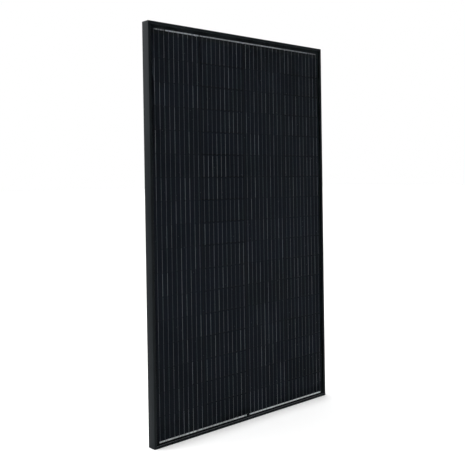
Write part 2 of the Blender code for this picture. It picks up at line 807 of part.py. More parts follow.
def make_box_rings(parent):
    """The glue pad under the box and the gasket on its rim."""
    pad = bmesh.new()
    width = WINDOW_WIDTH + 2 * PAD_WINDOW_MARGIN
    height = WINDOW_HEIGHT + 2 * PAD_WINDOW_MARGIN
    hole = rounded_rectangle(width, height, PAD_WINDOW_MARGIN, SMALL_CORNER_STEPS)
    outlines = [inset_rectangle(BOX_PAD_INSET), moved(hole, 0, WINDOW_Z)]
    add_prism(pad, outlines, PAD_FRONT, PAD_FRONT + BOX_PAD_THICKNESS, along_y)
    add_piece("junction_box_glue_pad", pad, "silicone_glue", parent=parent)

    gasket = bmesh.new()
    outlines = [inset_rectangle(GASKET_INSET), inset_rectangle(GASKET_INSET + GASKET_WIDTH)]
    add_prism(gasket, outlines, GASKET_FRONT, GASKET_FRONT + GASKET_THICKNESS, along_y)
    add_piece("junction_box_gasket", gasket, "black_rubber", smooth=True, parent=parent)


def make_terminals(parent):
    """Three terminal plates with upright tabs, and the lead tails that fold onto them."""
    tab_rise = TERMINAL_BACK + TERMINAL_TAB_RISE
    low = POST_Z - TERMINAL_HEIGHT / 2
    high = POST_Z + TERMINAL_HEIGHT / 2
    for index, side_name in enumerate(("left", "centre", "right")):
        x = (index - 1) * TERMINAL_PITCH
        plate = bmesh.new()
        section = [
            (from_front(TERMINAL_FRONT), low),
            (from_front(tab_rise), low),
            (from_front(tab_rise), low + TERMINAL_THICKNESS),
            (from_front(TERMINAL_BACK), low + TERMINAL_THICKNESS),
            (from_front(TERMINAL_BACK), high),
            (from_front(TERMINAL_FRONT), high),
        ]
        add_prism(plate, [section], x - TERMINAL_WIDTH / 2, x + TERMINAL_WIDTH / 2, along_x)
        add_piece("terminal_" + side_name, plate, "bare_copper", parent=parent)

        tail = bmesh.new()
        tail_front = LAYERS["rear_encapsulant"][0]
        tail_back = TERMINAL_BACK + GAP + LEAD_TAIL_THICKNESS
        section = [
            (from_front(tail_front), WINDOW_Z),
            (from_front(tail_back), WINDOW_Z),
            (from_front(tail_back), LEAD_TAIL_END_Z),
            (from_front(tail_back - LEAD_TAIL_THICKNESS), LEAD_TAIL_END_Z),
            (from_front(tail_back - LEAD_TAIL_THICKNESS), WINDOW_Z - LEAD_TAIL_THICKNESS),
            (from_front(tail_front), WINDOW_Z - LEAD_TAIL_THICKNESS),
        ]
        add_prism(tail, [section], x - LEAD_TAIL_WIDTH / 2, x + LEAD_TAIL_WIDTH / 2, along_x)
        add_piece("lead_tail_" + side_name, tail, "tinned_copper", parent=parent)


def make_diodes(parent):
    """Two bypass diodes, each lying across two neighbouring terminals."""
    profile = (
        (0, -DIODE_LENGTH / 2),
        (DIODE_WIRE_RADIUS, -DIODE_LENGTH / 2),
        (DIODE_WIRE_RADIUS, -DIODE_BODY_LENGTH / 2),
        (DIODE_RADIUS, -DIODE_BODY_LENGTH / 2),
        (DIODE_RADIUS, DIODE_BODY_LENGTH / 2),
        (DIODE_WIRE_RADIUS, DIODE_BODY_LENGTH / 2),
        (DIODE_WIRE_RADIUS, DIODE_LENGTH / 2),
        (0, DIODE_LENGTH / 2),
    )
    y = from_front(TERMINAL_BACK + GAP + DIODE_WIRE_RADIUS)
    for side, side_name in ((-1, "left"), (1, "right")):
        bm = bmesh.new()
        add_turned(bm, profile, SMALL_ROUND_SEGMENTS)
        add_piece(
            "bypass_diode_" + side_name,
            bm,
            "epoxy_body",
            smooth=True,
            location=(side * TERMINAL_PITCH / 2, y, DIODE_Z),
            rotation=(0, math.pi / 2, 0),
            parent=parent,
        )


def make_glands(parent):
    """A gland body through each hole in the lower wall, and the nut screwed over it."""
    inside = GAP + GLAND_FLANGE_THICKNESS
    body_profile = (
        (GLAND_BORE_RADIUS, inside),
        (GLAND_FLANGE_RADIUS, inside),
        (GLAND_FLANGE_RADIUS, GAP),
        (GLAND_NECK_RADIUS, GAP),
        (GLAND_NECK_RADIUS, -BOX_WALL - GLAND_NECK_LENGTH),
        (GLAND_BORE_RADIUS, -BOX_WALL - GLAND_NECK_LENGTH),
    )
    nut_start = -BOX_WALL - GAP
    hex_end = nut_start - GLAND_NUT_HEX_LENGTH
    bore_end = -BOX_WALL - GLAND_NECK_LENGTH - GAP
    nut_profile = (
        (GLAND_HOLE_RADIUS, nut_start),
        (GLAND_NUT_APOTHEM, nut_start, "hex"),
        (GLAND_NUT_APOTHEM, hex_end, "hex"),
        (GLAND_NUT_APOTHEM - GLAND_NUT_SHOULDER, hex_end),
        (GLAND_NUT_TIP_RADIUS, bore_end - GLAND_NUT_TIP_WALL),
        (GLAND_BORE_RADIUS, bore_end - GLAND_NUT_TIP_WALL),
        (GLAND_BORE_RADIUS, bore_end),
        (GLAND_HOLE_RADIUS, bore_end),
    )
    wall_inside = -BOX_HEIGHT / 2 + BOX_WALL
    for side, side_name in ((-1, "left"), (1, "right")):
        place = (side * GLAND_X, from_front(GLAND_DEPTH), wall_inside)
        for prefix, profile in (("cable_gland_", body_profile), ("gland_nut_", nut_profile)):
            bm = bmesh.new()
            add_turned(bm, profile)
            name = prefix + side_name
            add_piece(name, bm, "black_plastic", smooth=True, location=place, parent=parent)


def make_lid(parent):
    """The lid, built around its hinge axis, and the hinge pin."""
    def from_hinge(u, v, level):
        """Outline in X and Z around the box's middle, level behind the lid's front."""
        return (u, level, v - HINGE_Z)

    plate = bmesh.new()
    add_prism(plate, [inset_rectangle(0)], 0, LID_THICKNESS, from_hinge)
    lid = add_piece("junction_box_lid", plate, "black_plastic", smooth=True, parent=parent)

    adds = bmesh.new()
    embed_front = LID_THICKNESS / 4
    embed_back = LID_THICKNESS - embed_front
    skirt = BOX_WALL + LID_SKIRT_CLEARANCE
    outlines = [inset_rectangle(skirt), inset_rectangle(skirt + LID_SKIRT_WALL)]
    add_prism(adds, outlines, -LID_SKIRT_DEPTH, embed_front, from_hinge)
    width = BOX_WIDTH - 2 * LID_PANEL_INSET
    height = BOX_HEIGHT - 2 * LID_PANEL_INSET
    raised = [rounded_rectangle(width, height, LID_PANEL_RADIUS)]
    add_prism(adds, raised, embed_back, LID_THICKNESS + LID_PANEL_RISE, from_hinge)
    ends = KNUCKLE_INNER_X - KNUCKLE_SIDE_GAP
    add_prism(adds, [lid_knuckle_outline()], -ends, ends, along_x)
    tab = rounded_rectangle(LID_TAB_WIDTH, 2 * LID_TAB_REACH, LID_TAB_RADIUS, SMALL_CORNER_STEPS)
    tab_front = embed_front + KNUCKLE_WEB_INSET
    tab_back = embed_back - KNUCKLE_WEB_INSET
    for side in (-1, 1):
        outline = moved(tab, side * LID_TAB_X, -BOX_HEIGHT / 2)
        add_prism(adds, [outline], tab_front, tab_back, from_hinge)
    combine(lid, add_cutter("add_lid_fittings", adds, parent=parent), "UNION")
    bore = add_cutter(
        "cut_lid_pin_bore",
        pin_bore(ends + EMBED),
        rotation=(0, math.pi / 2, 0),
        parent=parent,
    )
    combine(lid, bore, "DIFFERENCE")


def make_hinge_pin(parent):
    """The steel pin through the knuckles of the box and the lid."""
    bm = bmesh.new()
    profile = (
        (0, -PIN_HALF_LENGTH),
        (PIN_RADIUS, -PIN_HALF_LENGTH),
        (PIN_RADIUS, PIN_HALF_LENGTH),
        (0, PIN_HALF_LENGTH),
    )
    add_turned(bm, profile, SMALL_ROUND_SEGMENTS)
    add_piece("lid_hinge_pin", bm, "steel", smooth=True, rotation=(0, math.pi / 2, 0), parent=parent)


# ------------------------------------------------------------------ assembly
def main():
    """Build the whole panel."""
    clear_scene()
    panel = add_empty("panel", location=(0, -PANEL_DEPTH / 2, -PANEL_HEIGHT / 2))
    make_frame(panel)
    make_corner_keys(panel)
    make_edge_seal(panel)
    make_sheets(panel)
    make_strings(panel)
    make_bus_ribbons(panel)
    make_leads(panel)
    box = add_empty("junction_box", location=(0, 0, BOX_Z), parent=panel)
    make_box_base(box)
    make_box_rings(box)
    make_terminals(box)
    make_diodes(box)
    make_glands(box)
    hinge = add_empty("lid_hinge", location=(0, hinge_y(), HINGE_Z), parent=box)
    make_lid(hinge)
    make_hinge_pin(hinge)


main()
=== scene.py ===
"""Looks of the framed solar panel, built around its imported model.

The rails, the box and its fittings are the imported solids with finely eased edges. The cells,
their wires and solder pads, the bus ribbons with their joints, the fields pressed into the
backsheet, the lid's ribs and the nuts' grip ridges are made by geometry nodes. X is the panel's
width, Z its height, -Y the side that faces the sun, and all sizes are in metres.
"""

import logging
import math
from dataclasses import dataclass
from enum import Enum

import bmesh
import bpy
from mathutils import Matrix, Vector


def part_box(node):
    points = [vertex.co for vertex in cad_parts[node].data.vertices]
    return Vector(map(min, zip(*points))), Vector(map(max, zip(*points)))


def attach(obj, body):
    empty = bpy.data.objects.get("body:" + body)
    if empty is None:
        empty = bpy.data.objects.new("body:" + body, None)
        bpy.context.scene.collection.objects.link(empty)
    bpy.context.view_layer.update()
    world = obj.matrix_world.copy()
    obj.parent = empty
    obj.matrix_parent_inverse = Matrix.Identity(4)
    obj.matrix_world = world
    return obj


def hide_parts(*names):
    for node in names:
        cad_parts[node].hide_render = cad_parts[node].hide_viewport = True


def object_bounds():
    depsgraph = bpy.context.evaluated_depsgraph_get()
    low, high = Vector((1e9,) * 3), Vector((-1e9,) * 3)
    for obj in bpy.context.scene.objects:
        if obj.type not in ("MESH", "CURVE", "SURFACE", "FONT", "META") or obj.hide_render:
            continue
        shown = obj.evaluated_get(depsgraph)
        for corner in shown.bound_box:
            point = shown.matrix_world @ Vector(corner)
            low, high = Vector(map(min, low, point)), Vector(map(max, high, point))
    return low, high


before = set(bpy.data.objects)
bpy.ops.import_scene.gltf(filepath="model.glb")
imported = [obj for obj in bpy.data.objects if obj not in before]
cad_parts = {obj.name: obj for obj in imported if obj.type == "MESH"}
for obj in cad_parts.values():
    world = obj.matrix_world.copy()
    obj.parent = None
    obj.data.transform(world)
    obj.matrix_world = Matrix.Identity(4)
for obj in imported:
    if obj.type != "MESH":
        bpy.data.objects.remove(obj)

log = logging.getLogger("solar_panel")

CAD_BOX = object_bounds()
MERGE = 1e-6
UPRIGHT = (math.pi / 2, 0.0, 0.0)
Mesh = bpy.types.Mesh


class Body(Enum):
    """The rigid bodies that pieces ride on."""

    PANEL = "panel"
    LID = "lid"


class Side(Enum):
    """The two halves of the panel, by the sign of X."""

    LEFT = -1
    RIGHT = 1

    @property
    def word(self) -> str:
        """The side's name as the nodes spell it."""
        return self.name.lower()


class Drawn(Enum):
    """The way that metal was drawn, as the scale of its fine lines along X, Y and Z."""

    X = (6.0, 900.0, 900.0)
    Z = (900.0, 900.0, 6.0)


# node graphs
class Sock:
    """An output socket that takes part in arithmetic. Each operation adds a Math node."""

    def __init__(self, graph: "Graph", socket: bpy.types.NodeSocket) -> None:
        """Wrap an output socket of a graph."""
        self.graph = graph
        self.socket = socket

    def _math(self, operation: str, first: object, second: object) -> "Sock":
        """One Math node on numbers or Socks."""
        return self.graph.out("ShaderNodeMath", {"operation": operation}, {0: first, 1: second})

    def __add__(self, other: object) -> "Sock":
        """self + other."""
        return self._math("ADD", self, other)

    __radd__ = __add__

    def __sub__(self, other: object) -> "Sock":
        """self - other."""
        return self._math("SUBTRACT", self, other)

    def __rsub__(self, other: object) -> "Sock":
        """other - self."""
        return self._math("SUBTRACT", other, self)

    def __mul__(self, other: object) -> "Sock":
        """self * other."""
        return self._math("MULTIPLY", self, other)

    __rmul__ = __mul__

    def __truediv__(self, other: object) -> "Sock":
        """self / other."""
        return self._math("DIVIDE", self, other)

    def __pow__(self, exponent: float) -> "Sock":
        """self raised to an exponent."""
        return self._math("POWER", self, exponent)

    def folded(self, period: float) -> "Sock":
        """Distance to the nearest whole multiple of a period."""
        return self._math("PINGPONG", self, period / 2)

    def ramp(self, low: float, high: float) -> "Sock":
        """0 at low, 1 at high, and smooth between."""
        feeds = {"Value": self, "From Min": low, "From Max": high}
        return self.graph.out("ShaderNodeMapRange", {"interpolation_type": "SMOOTHSTEP"}, feeds)


class Graph:
    """Adds nodes to a shader tree or a geometry tree."""

    def __init__(self, tree: bpy.types.NodeTree) -> None:
        """Work on a tree."""
        self.tree = tree

    def node(
        self, kind: str, settings: dict | None = None, feeds: dict | None = None
    ) -> bpy.types.Node:
        """Add a node.

        Args:
            kind: the node's type.
            settings: its own settings, set first.
            feeds: what its inputs take, by name or number: values, Socks, or lists of Socks.

        Returns:
            The new node.
        """
        node = self.tree.nodes.new(kind)
        for name, value in (settings or {}).items():
            setattr(node, name, value)
        for name, value in (feeds or {}).items():
            self._feed(node.inputs[name], value)
        return node

    def out(
        self,
        kind: str,
        settings: dict | None = None,
        feeds: dict | None = None,
        output: int | str = 0,
    ) -> Sock:
        """Add a node, as node does, and return one of its outputs."""
        return Sock(self, self.node(kind, settings, feeds).outputs[output])

    def _feed(self, target: bpy.types.NodeSocket, value: object) -> None:
        """Link or set one input.

        Args:
            target: the input.
            value: a Sock, a list of Socks, or a plain value.
        """
        if isinstance(value, Sock):
            self.tree.links.new(value.socket, target)
        elif isinstance(value, list):
            for item in value:
                self.tree.links.new(item.socket, target)
        else:
            target.default_value = value

    def parts(self, vector: Sock) -> list[Sock]:
        """The X, Y and Z of a vector."""
        split = self.node("ShaderNodeSeparateXYZ", None, {0: vector})
        return [Sock(self, output) for output in split.outputs]

    def vector(self, x: object = 0.0, y: object = 0.0, z: object = 0.0) -> Sock:
        """A vector from three numbers or Socks."""
        return self.out("ShaderNodeCombineXYZ", None, {0: x, 1: y, 2: z})

    def blend(self, factor: object, first: object, second: object) -> Sock:
        """Mix two colours.

        Args:
            factor: 0 for the first, 1 for the second.
            first: a colour or a Sock.
            second: a colour or a Sock.

        Returns:
            The mixed colour.
        """
        colours = [value if isinstance(value, Sock) else rgba(value) for value in (first, second)]
        feeds = {0: factor, 6: colours[0], 7: colours[1]}
        return self.out("ShaderNodeMix", {"data_type": "RGBA"}, feeds, 2)

    def noise(self, scale: float | tuple, detail: float = 3.0) -> Sock:
        """Soft noise from 0 to 1 on object coordinates.

        Args:
            scale: pattern lengths to a metre, all the same or along X, Y and Z.
            detail: how many finer layers it holds.

        Returns:
            The noise value.
        """
        scale = scale if isinstance(scale, tuple) else (scale,) * 3
        point = self.out("ShaderNodeTexCoord", output="Object")
        placed = self.out("ShaderNodeMapping", None, {"Vector": point, "Scale": scale})
        feeds = {"Vector": placed, "Scale": 1.0, "Detail": detail}
        return self.out("ShaderNodeTexNoise", None, feeds)

    def attribute(self, name: str) -> Sock:
        """A number that the mesh carries."""
        return self.out("ShaderNodeAttribute", {"attribute_name": name}, None, "Fac")

    def bump(self, height: Sock, depth: float) -> Sock:
        """A normal from a height of 0 to 1, where 1 stands for a depth in metres."""
        feeds = {"Height": height, "Distance": depth, "Strength": 1.0}
        return self.out("ShaderNodeBump", None, feeds)

    def principled(self, feeds: dict) -> Sock:
        """A Principled shader with these inputs."""
        return self.out("ShaderNodeBsdfPrincipled", None, feeds)


def rgba(colour: tuple) -> tuple:
    """A colour with its alpha."""
    return (*colour, 1.0)


# finishes
@dataclass(frozen=True)
class Finish:
    """A surface finish that makes its own material."""

    name: str
    slot: str

    def shade(self, graph: Graph) -> Sock:
        """Build the surface shader."""
        raise NotImplementedError

    def material(self) -> bpy.types.Material:
        """Make the material, or return the one made before.

        Returns:
            The material.
        """
        title = self.name + "_finish"
        made = bpy.data.materials.get(title)
        if made is None:
            made = bpy.data.materials.new(title)
            made.use_nodes = True
            made.node_tree.nodes.clear()
            graph = Graph(made.node_tree)
            graph.node("ShaderNodeOutputMaterial", None, {"Surface": self.shade(graph)})
        return made


@dataclass(frozen=True)
class Anodised(Finish):
    """Dyed anodised aluminium, with the faint drawn lines of an extrusion."""

    drawn: Drawn = Drawn.Z
    dark: tuple = (0.0068, 0.0090, 0.0106)
    pale: tuple = (0.0098, 0.0126, 0.0144)
    # the colour of the painted highlight on the eased edges
    edge: tuple = (0.020, 0.023, 0.026)
    rough: float = 0.36
    specular: float = 0.045
    relief: float = 0.00003

    def shade(self, graph: Graph) -> Sock:
        """Drawn lines, a cloudy dye, fine grain, and a painted highlight on the eased edges.

        Args:
            graph: the material's graph.

        Returns:
            The surface shader.
        """
        lines = graph.noise(self.drawn.value, 4.0)
        cloud = graph.noise(9.0, 2.0)
        grain = graph.noise(2600.0, 1.0)
        dyed = graph.blend((lines * 0.5 + cloud * 0.5).ramp(0.35, 0.65), self.dark, self.pale)
        return graph.principled(
            {
                # paints a highlight on the faces that easing made
                "Base Color": graph.blend(graph.attribute("edge"), dyed, self.edge),
                "Specular IOR Level": self.specular,
                "Roughness": lines * 0.08 + cloud * 0.05 + self.rough,
                "Normal": graph.bump(lines * 0.6 + grain * 0.4, self.relief),
            }
        )


@dataclass(frozen=True)
class SolarGlass(Finish):
    """Coated low-iron glass: it reflects little and lets nearly everything through."""

    grazing: float = 0.90
    steepness: float = 12.0
    rough: float = 0.16
    clear: tuple = (0.985, 0.992, 0.990)
    cast: tuple = (0.90, 0.95, 1.0)
    relief: float = 0.00001

    def shade(self, graph: Graph) -> Sock:
        """Mix a clear film and a soft reflection by the angle of view.

        Args:
            graph: the material's graph.

        Returns:
            The surface shader.
        """
        normal = graph.bump(graph.noise(900.0, 2.0), self.relief)
        feeds = {"Blend": 0.5, "Normal": normal}
        facing = graph.out("ShaderNodeLayerWeight", None, feeds, "Facing")
        mirrored = facing**self.steepness * self.grazing
        clear = graph.out("ShaderNodeBsdfTransparent", None, {"Color": rgba(self.clear)})
        feeds = {"Color": rgba(self.cast), "Roughness": self.rough, "Normal": normal}
        mirror = graph.out("ShaderNodeBsdfAnisotropic", None, feeds)
        return graph.out("ShaderNodeMixShader", None, {0: mirrored, 1: clear, 2: mirror})


@dataclass(frozen=True)
class ClearResin(Finish):
    """Cured encapsulant: a clear sheet with the slightest haze."""

    haze: float = 0.010
    smoke: tuple = (0.0020, 0.0024, 0.0030)

    def shade(self, graph: Graph) -> Sock:
        """Nearly clear, with a little cloudy haze.

        Args:
            graph: the material's graph.

        Returns:
            The surface shader.
        """
        cloud = graph.noise(30.0)
        feeds = {"Base Color": rgba(self.smoke), "Roughness": 0.5, "Alpha": cloud * (2 * self.haze)}
        return graph.principled({**feeds, "Specular IOR Level": 0.0})


@dataclass(frozen=True)
class Silicon(Finish):
    """Coated cell: near black, with a blue cast that differs a little from cell to cell."""

    deep: tuple = (0.0090, 0.0110, 0.0140)
    blue: tuple = (0.0106, 0.0132, 0.0186)
    printed: tuple = (0.013, 0.017, 0.022)
    finger_pitch: float = 0.0016
    finger_width: float = 0.00006
    rough: float = 0.40
    specular: float = 0.008

    def shade(self, graph: Graph) -> Sock:
        """The cell's own tone, a cloudy coating and the printed contact fingers.

        Args:
            graph: the material's graph.

        Returns:
            The surface shader.
        """
        cloud = graph.noise(16.0)
        height = graph.parts(graph.out("ShaderNodeTexCoord", output="Object"))[2]
        finger = 1 - height.folded(self.finger_pitch).ramp(self.finger_width / 2, self.finger_width)
        base = graph.blend(graph.attribute("tone") * 0.6 + cloud * 0.4, self.deep, self.blue)
        return graph.principled(
            {
                "Base Color": graph.blend(finger, base, self.printed),
                "Roughness": cloud * 0.10 + self.rough,
                "Specular IOR Level": self.specular,
            }
        )


@dataclass(frozen=True)
class TinnedRibbon(Finish):
    """Soldered copper ribbon. Its glint attribute says how much light a stretch catches."""

    dull: tuple = (0.062, 0.066, 0.072)
    bright: tuple = (0.172, 0.182, 0.196)
    curve: float = 2.0
    metal: float = 0.05
    rough: float = 0.35
    specular: float = 0.15
    relief: float = 0.00002

    def shade(self, graph: Graph) -> Sock:
        """The stretch's own glint and fine drawn marks.

        Args:
            graph: the material's graph.

        Returns:
            The surface shader.
        """
        marks = graph.noise((700.0, 700.0, 60.0))
        tone = graph.attribute("glint") ** self.curve + (marks - 0.5) * 0.2
        return graph.principled(
            {
                "Base Color": graph.blend(tone.ramp(-0.05, 1.05), self.dull, self.bright),
                "Metallic": self.metal,
                "Specular IOR Level": self.specular,
                "Roughness": marks * 0.2 + self.rough,
                "Normal": graph.bump(marks, self.relief),
            }
        )


@dataclass(frozen=True)
class Grained(Finish):
    """A fine grain or drawn lines over a slow change of tone."""

    dark: tuple = (0.016, 0.016, 0.017)
    pale: tuple = (0.026, 0.026, 0.027)
    rough: float = 0.39
    swing: float = 0.14
    grain: float | tuple = 1800.0
    grain_detail: float = 2.0
    grain_share: float = 0.4
    slow: float | tuple = 25.0
    slow_detail: float = 2.0
    relief: float = 0.00003
    metal: float = 0.0
    specular: float = 0.5

    def shade(self, graph: Graph) -> Sock:
        """The grain in roughness and relief, and both patterns in the colour.

        Args:
            graph: the material's graph.

        Returns:
            The surface shader.
        """
        grain = graph.noise(self.grain, self.grain_detail)
        slow = graph.noise(self.slow, self.slow_detail)
        share = self.grain_share
        tone = slow * (1 - share) + grain * share if share else slow
        return graph.principled(
            {
                "Base Color": graph.blend(tone, self.dark, self.pale),
                "Metallic": self.metal,
                "Specular IOR Level": self.specular,
                "Roughness": grain * self.swing + self.rough,
                "Normal": graph.bump(grain, self.relief),
            }
        )


@dataclass(frozen=True)
class Moulded(Grained):
    """Moulded or cured black polymer with a spark-eroded grain."""


@dataclass(frozen=True)
class BlackFilm(Grained):
    """Polymer film with a fine pressed texture and slow waves."""

    dark: tuple = (0.0062, 0.0078, 0.0094)
    pale: tuple = (0.0086, 0.0106, 0.0126)
    rough: float = 0.42
    swing: float = 0.12
    grain: float | tuple = 1500.0
    grain_share: float = 0.0
    slow: float | tuple = (14.0, 14.0, 5.0)
    specular: float = 0.06


@dataclass(frozen=True)
class BareMetal(Grained):
    """Bright drawn, pressed or extruded metal, lightly tarnished."""

    dark: tuple = (0.50, 0.51, 0.52)
    pale: tuple = (0.66, 0.67, 0.68)
    rough: float = 0.24
    swing: float = 0.16
    grain: float | tuple = Drawn.X.value
    grain_detail: float = 3.0
    grain_share: float = 0.0
    slow: float | tuple = 120.0
    slow_detail: float = 3.0
    relief: float = 0.00002
    metal: float = 1.0


@dataclass(frozen=True)
class PaleFloor(Finish):
    """Plain studio floor."""

    tone: tuple = (0.93, 0.93, 0.93)

    def shade(self, graph: Graph) -> Sock:
        """A matt white surface with the faintest unevenness.

        Args:
            graph: the material's graph.

        Returns:
            The surface shader.
        """
        rough = graph.noise(0.6, 1.0) * 0.05 + 0.85
        feeds = {"Base Color": rgba(self.tone), "Roughness": rough, "Specular IOR Level": 0.0}
        return graph.principled(feeds)


UPRIGHT_ANODISED = Anodised("black_anodised_upright", "black_anodised", Drawn.Z)
LEVEL_ANODISED = Anodised("black_anodised_level", "black_anodised", Drawn.X)
# The sill's copy paints a much brighter highlight on its eased edges, where light from above
# catches them.
SILL_ANODISED = Anodised("black_anodised_sill", "black_anodised", Drawn.X, edge=(0.15, 0.16, 0.17))
GLASS = SolarGlass("solar_glass", "solar_glass")
RESIN = ClearResin("clear_resin", "clear_resin")
SILICON = Silicon("coated_silicon", "silicon")
TINNED_WIRE = TinnedRibbon("tinned_wire", "tinned_copper")
TINNED_BUS = TinnedRibbon(
    "tinned_bus", "tinned_copper", (0.04, 0.043, 0.047), (0.84, 0.86, 0.89), 1.8, 0.3
)
TINNED_STRIP = BareMetal("tinned_strip", "tinned_copper", (0.40, 0.41, 0.42), (0.56, 0.57, 0.58))
FILM = BlackFilm("black_film", "black_film")
DARK_RESIN = BlackFilm("dark_resin", "clear_resin")
# Near-black strips behind row gaps: painted shade that darkens those gaps.
GAP_SHADE = BlackFilm("black_tape", "black_film", (0.0006, 0.0007, 0.0009), (0.0012, 0.0014, 0.0017))
PLASTIC = Moulded("black_moulding", "black_plastic")
RUBBER = Moulded("black_rubber", "black_rubber", (0.010,) * 3, (0.017,) * 3, 0.65, grain=900.0)
GLUE = Moulded(
    "silicone_glue", "silicone_glue", (0.035,) * 3, (0.050,) * 3, 0.53, grain=200.0, relief=0.0001
)
EPOXY = Moulded("diode_epoxy", "diode_body", (0.022,) * 3, (0.034,) * 3, 0.45)
ALUMINIUM = BareMetal("mill_aluminium", "mill_aluminium")
STEEL = BareMetal("bright_steel", "steel", rough=0.18)
COPPER = BareMetal(
    "bare_copper", "bare_copper", (0.56, 0.26, 0.15), (0.74, 0.38, 0.24), 0.26, grain=Drawn.Z.value
)
FLOOR = PaleFloor("pale_floor", "")


# making pieces
def report(piece: bpy.types.Object) -> None:
    """Log a finished piece."""
    log.info("%s: %d faces", piece.name, len(piece.data.polygons))


def finish_piece(
    name: str, mesh: Mesh, finish: Finish, nodes: list[str], body: Body = Body.PANEL
) -> bpy.types.Object:
    """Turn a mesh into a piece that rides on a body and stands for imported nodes.

    Args:
        name: the piece's name.
        mesh: its mesh, with its place in the vertices.
        finish: its finish.
        nodes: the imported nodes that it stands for.
        body: the body that it moves with.

    Returns:
        The piece.
    """
    piece = bpy.data.objects.new(name, mesh)
    bpy.context.scene.collection.objects.link(piece)
    mesh.materials.clear()
    mesh.materials.append(finish.material())
    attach(piece, body.value)
    if nodes:
        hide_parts(*nodes)
    report(piece)
    return piece


def dress(node: str, finish: Finish) -> None:
    """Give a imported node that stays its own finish.

    Args:
        node: the node's name.
        finish: its finish.
    """
    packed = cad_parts[node]
    packed.data.materials.clear()
    packed.data.materials.append(finish.material())
    report(packed)


def joined(name: str, meshes: list[Mesh]) -> Mesh:
    """Put several meshes into one.

    Args:
        name: the new mesh's name.
        meshes: the meshes.

    Returns:
        The new mesh.
    """
    bm = bmesh.new()
    for mesh in meshes:
        bm.from_mesh(mesh)
    whole = bpy.data.meshes.new(name)
    bm.to_mesh(whole)
    bm.free()
    return whole


def turned_back(mesh: Mesh, depth: float) -> Mesh:
    """Mirror plates that rise towards the front so that they rise towards the back.

    Args:
        mesh: the plates.
        depth: the plane to mirror across.

    Returns:
        The same mesh.
    """
    for vertex in mesh.vertices:
        vertex.co.y = 2 * depth - vertex.co.y
    mesh.flip_normals()
    return mesh


@dataclass(frozen=True)
class Easing:
    """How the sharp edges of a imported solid's copy are eased."""

    width: float = 0.0002
    steps: int = 2
    sharp_degrees: float = 32.0
    smooth_degrees: float = 40.0

    def mesh(self, node: str) -> Mesh:
        """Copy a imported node's mesh and ease its sharp edges.

        Args:
            node: the node's name.

        Returns:
            The eased mesh.
        """
        bm = bmesh.new()
        bm.from_mesh(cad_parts[node].data)
        # marks the eased faces, on which the anodised finish paints a highlight
        layer = bm.faces.layers.float.new("edge")
        bmesh.ops.remove_doubles(bm, verts=bm.verts, dist=MERGE)
        bmesh.ops.dissolve_limit(bm, angle_limit=math.radians(1), verts=bm.verts, edges=bm.edges)
        limit = math.radians(self.sharp_degrees)
        sharp = [e for e in bm.edges if len(e.link_faces) == 2 and e.calc_face_angle() > limit]
        eased = bmesh.ops.bevel(
            bm,
            geom=sharp,
            offset=self.width,
            segments=self.steps,
            profile=0.5,
            affect="EDGES",
            clamp_overlap=True,
        )
        for face in eased["faces"]:
            face[layer] = 1.0
        bmesh.ops.triangulate(bm, faces=bm.faces)
        mesh = bpy.data.meshes.new(node + "_eased")
        bm.to_mesh(mesh)
        bm.free()
        mesh.shade_smooth()
        mesh.set_sharp_from_angle(angle=math.radians(self.smooth_degrees))
        return mesh

    def piece(self, node: str, finish: Finish, body: Body = Body.PANEL) -> bpy.types.Object:
        """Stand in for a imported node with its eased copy."""
        return finish_piece(node + "_eased", self.mesh(node), finish, [node], body)


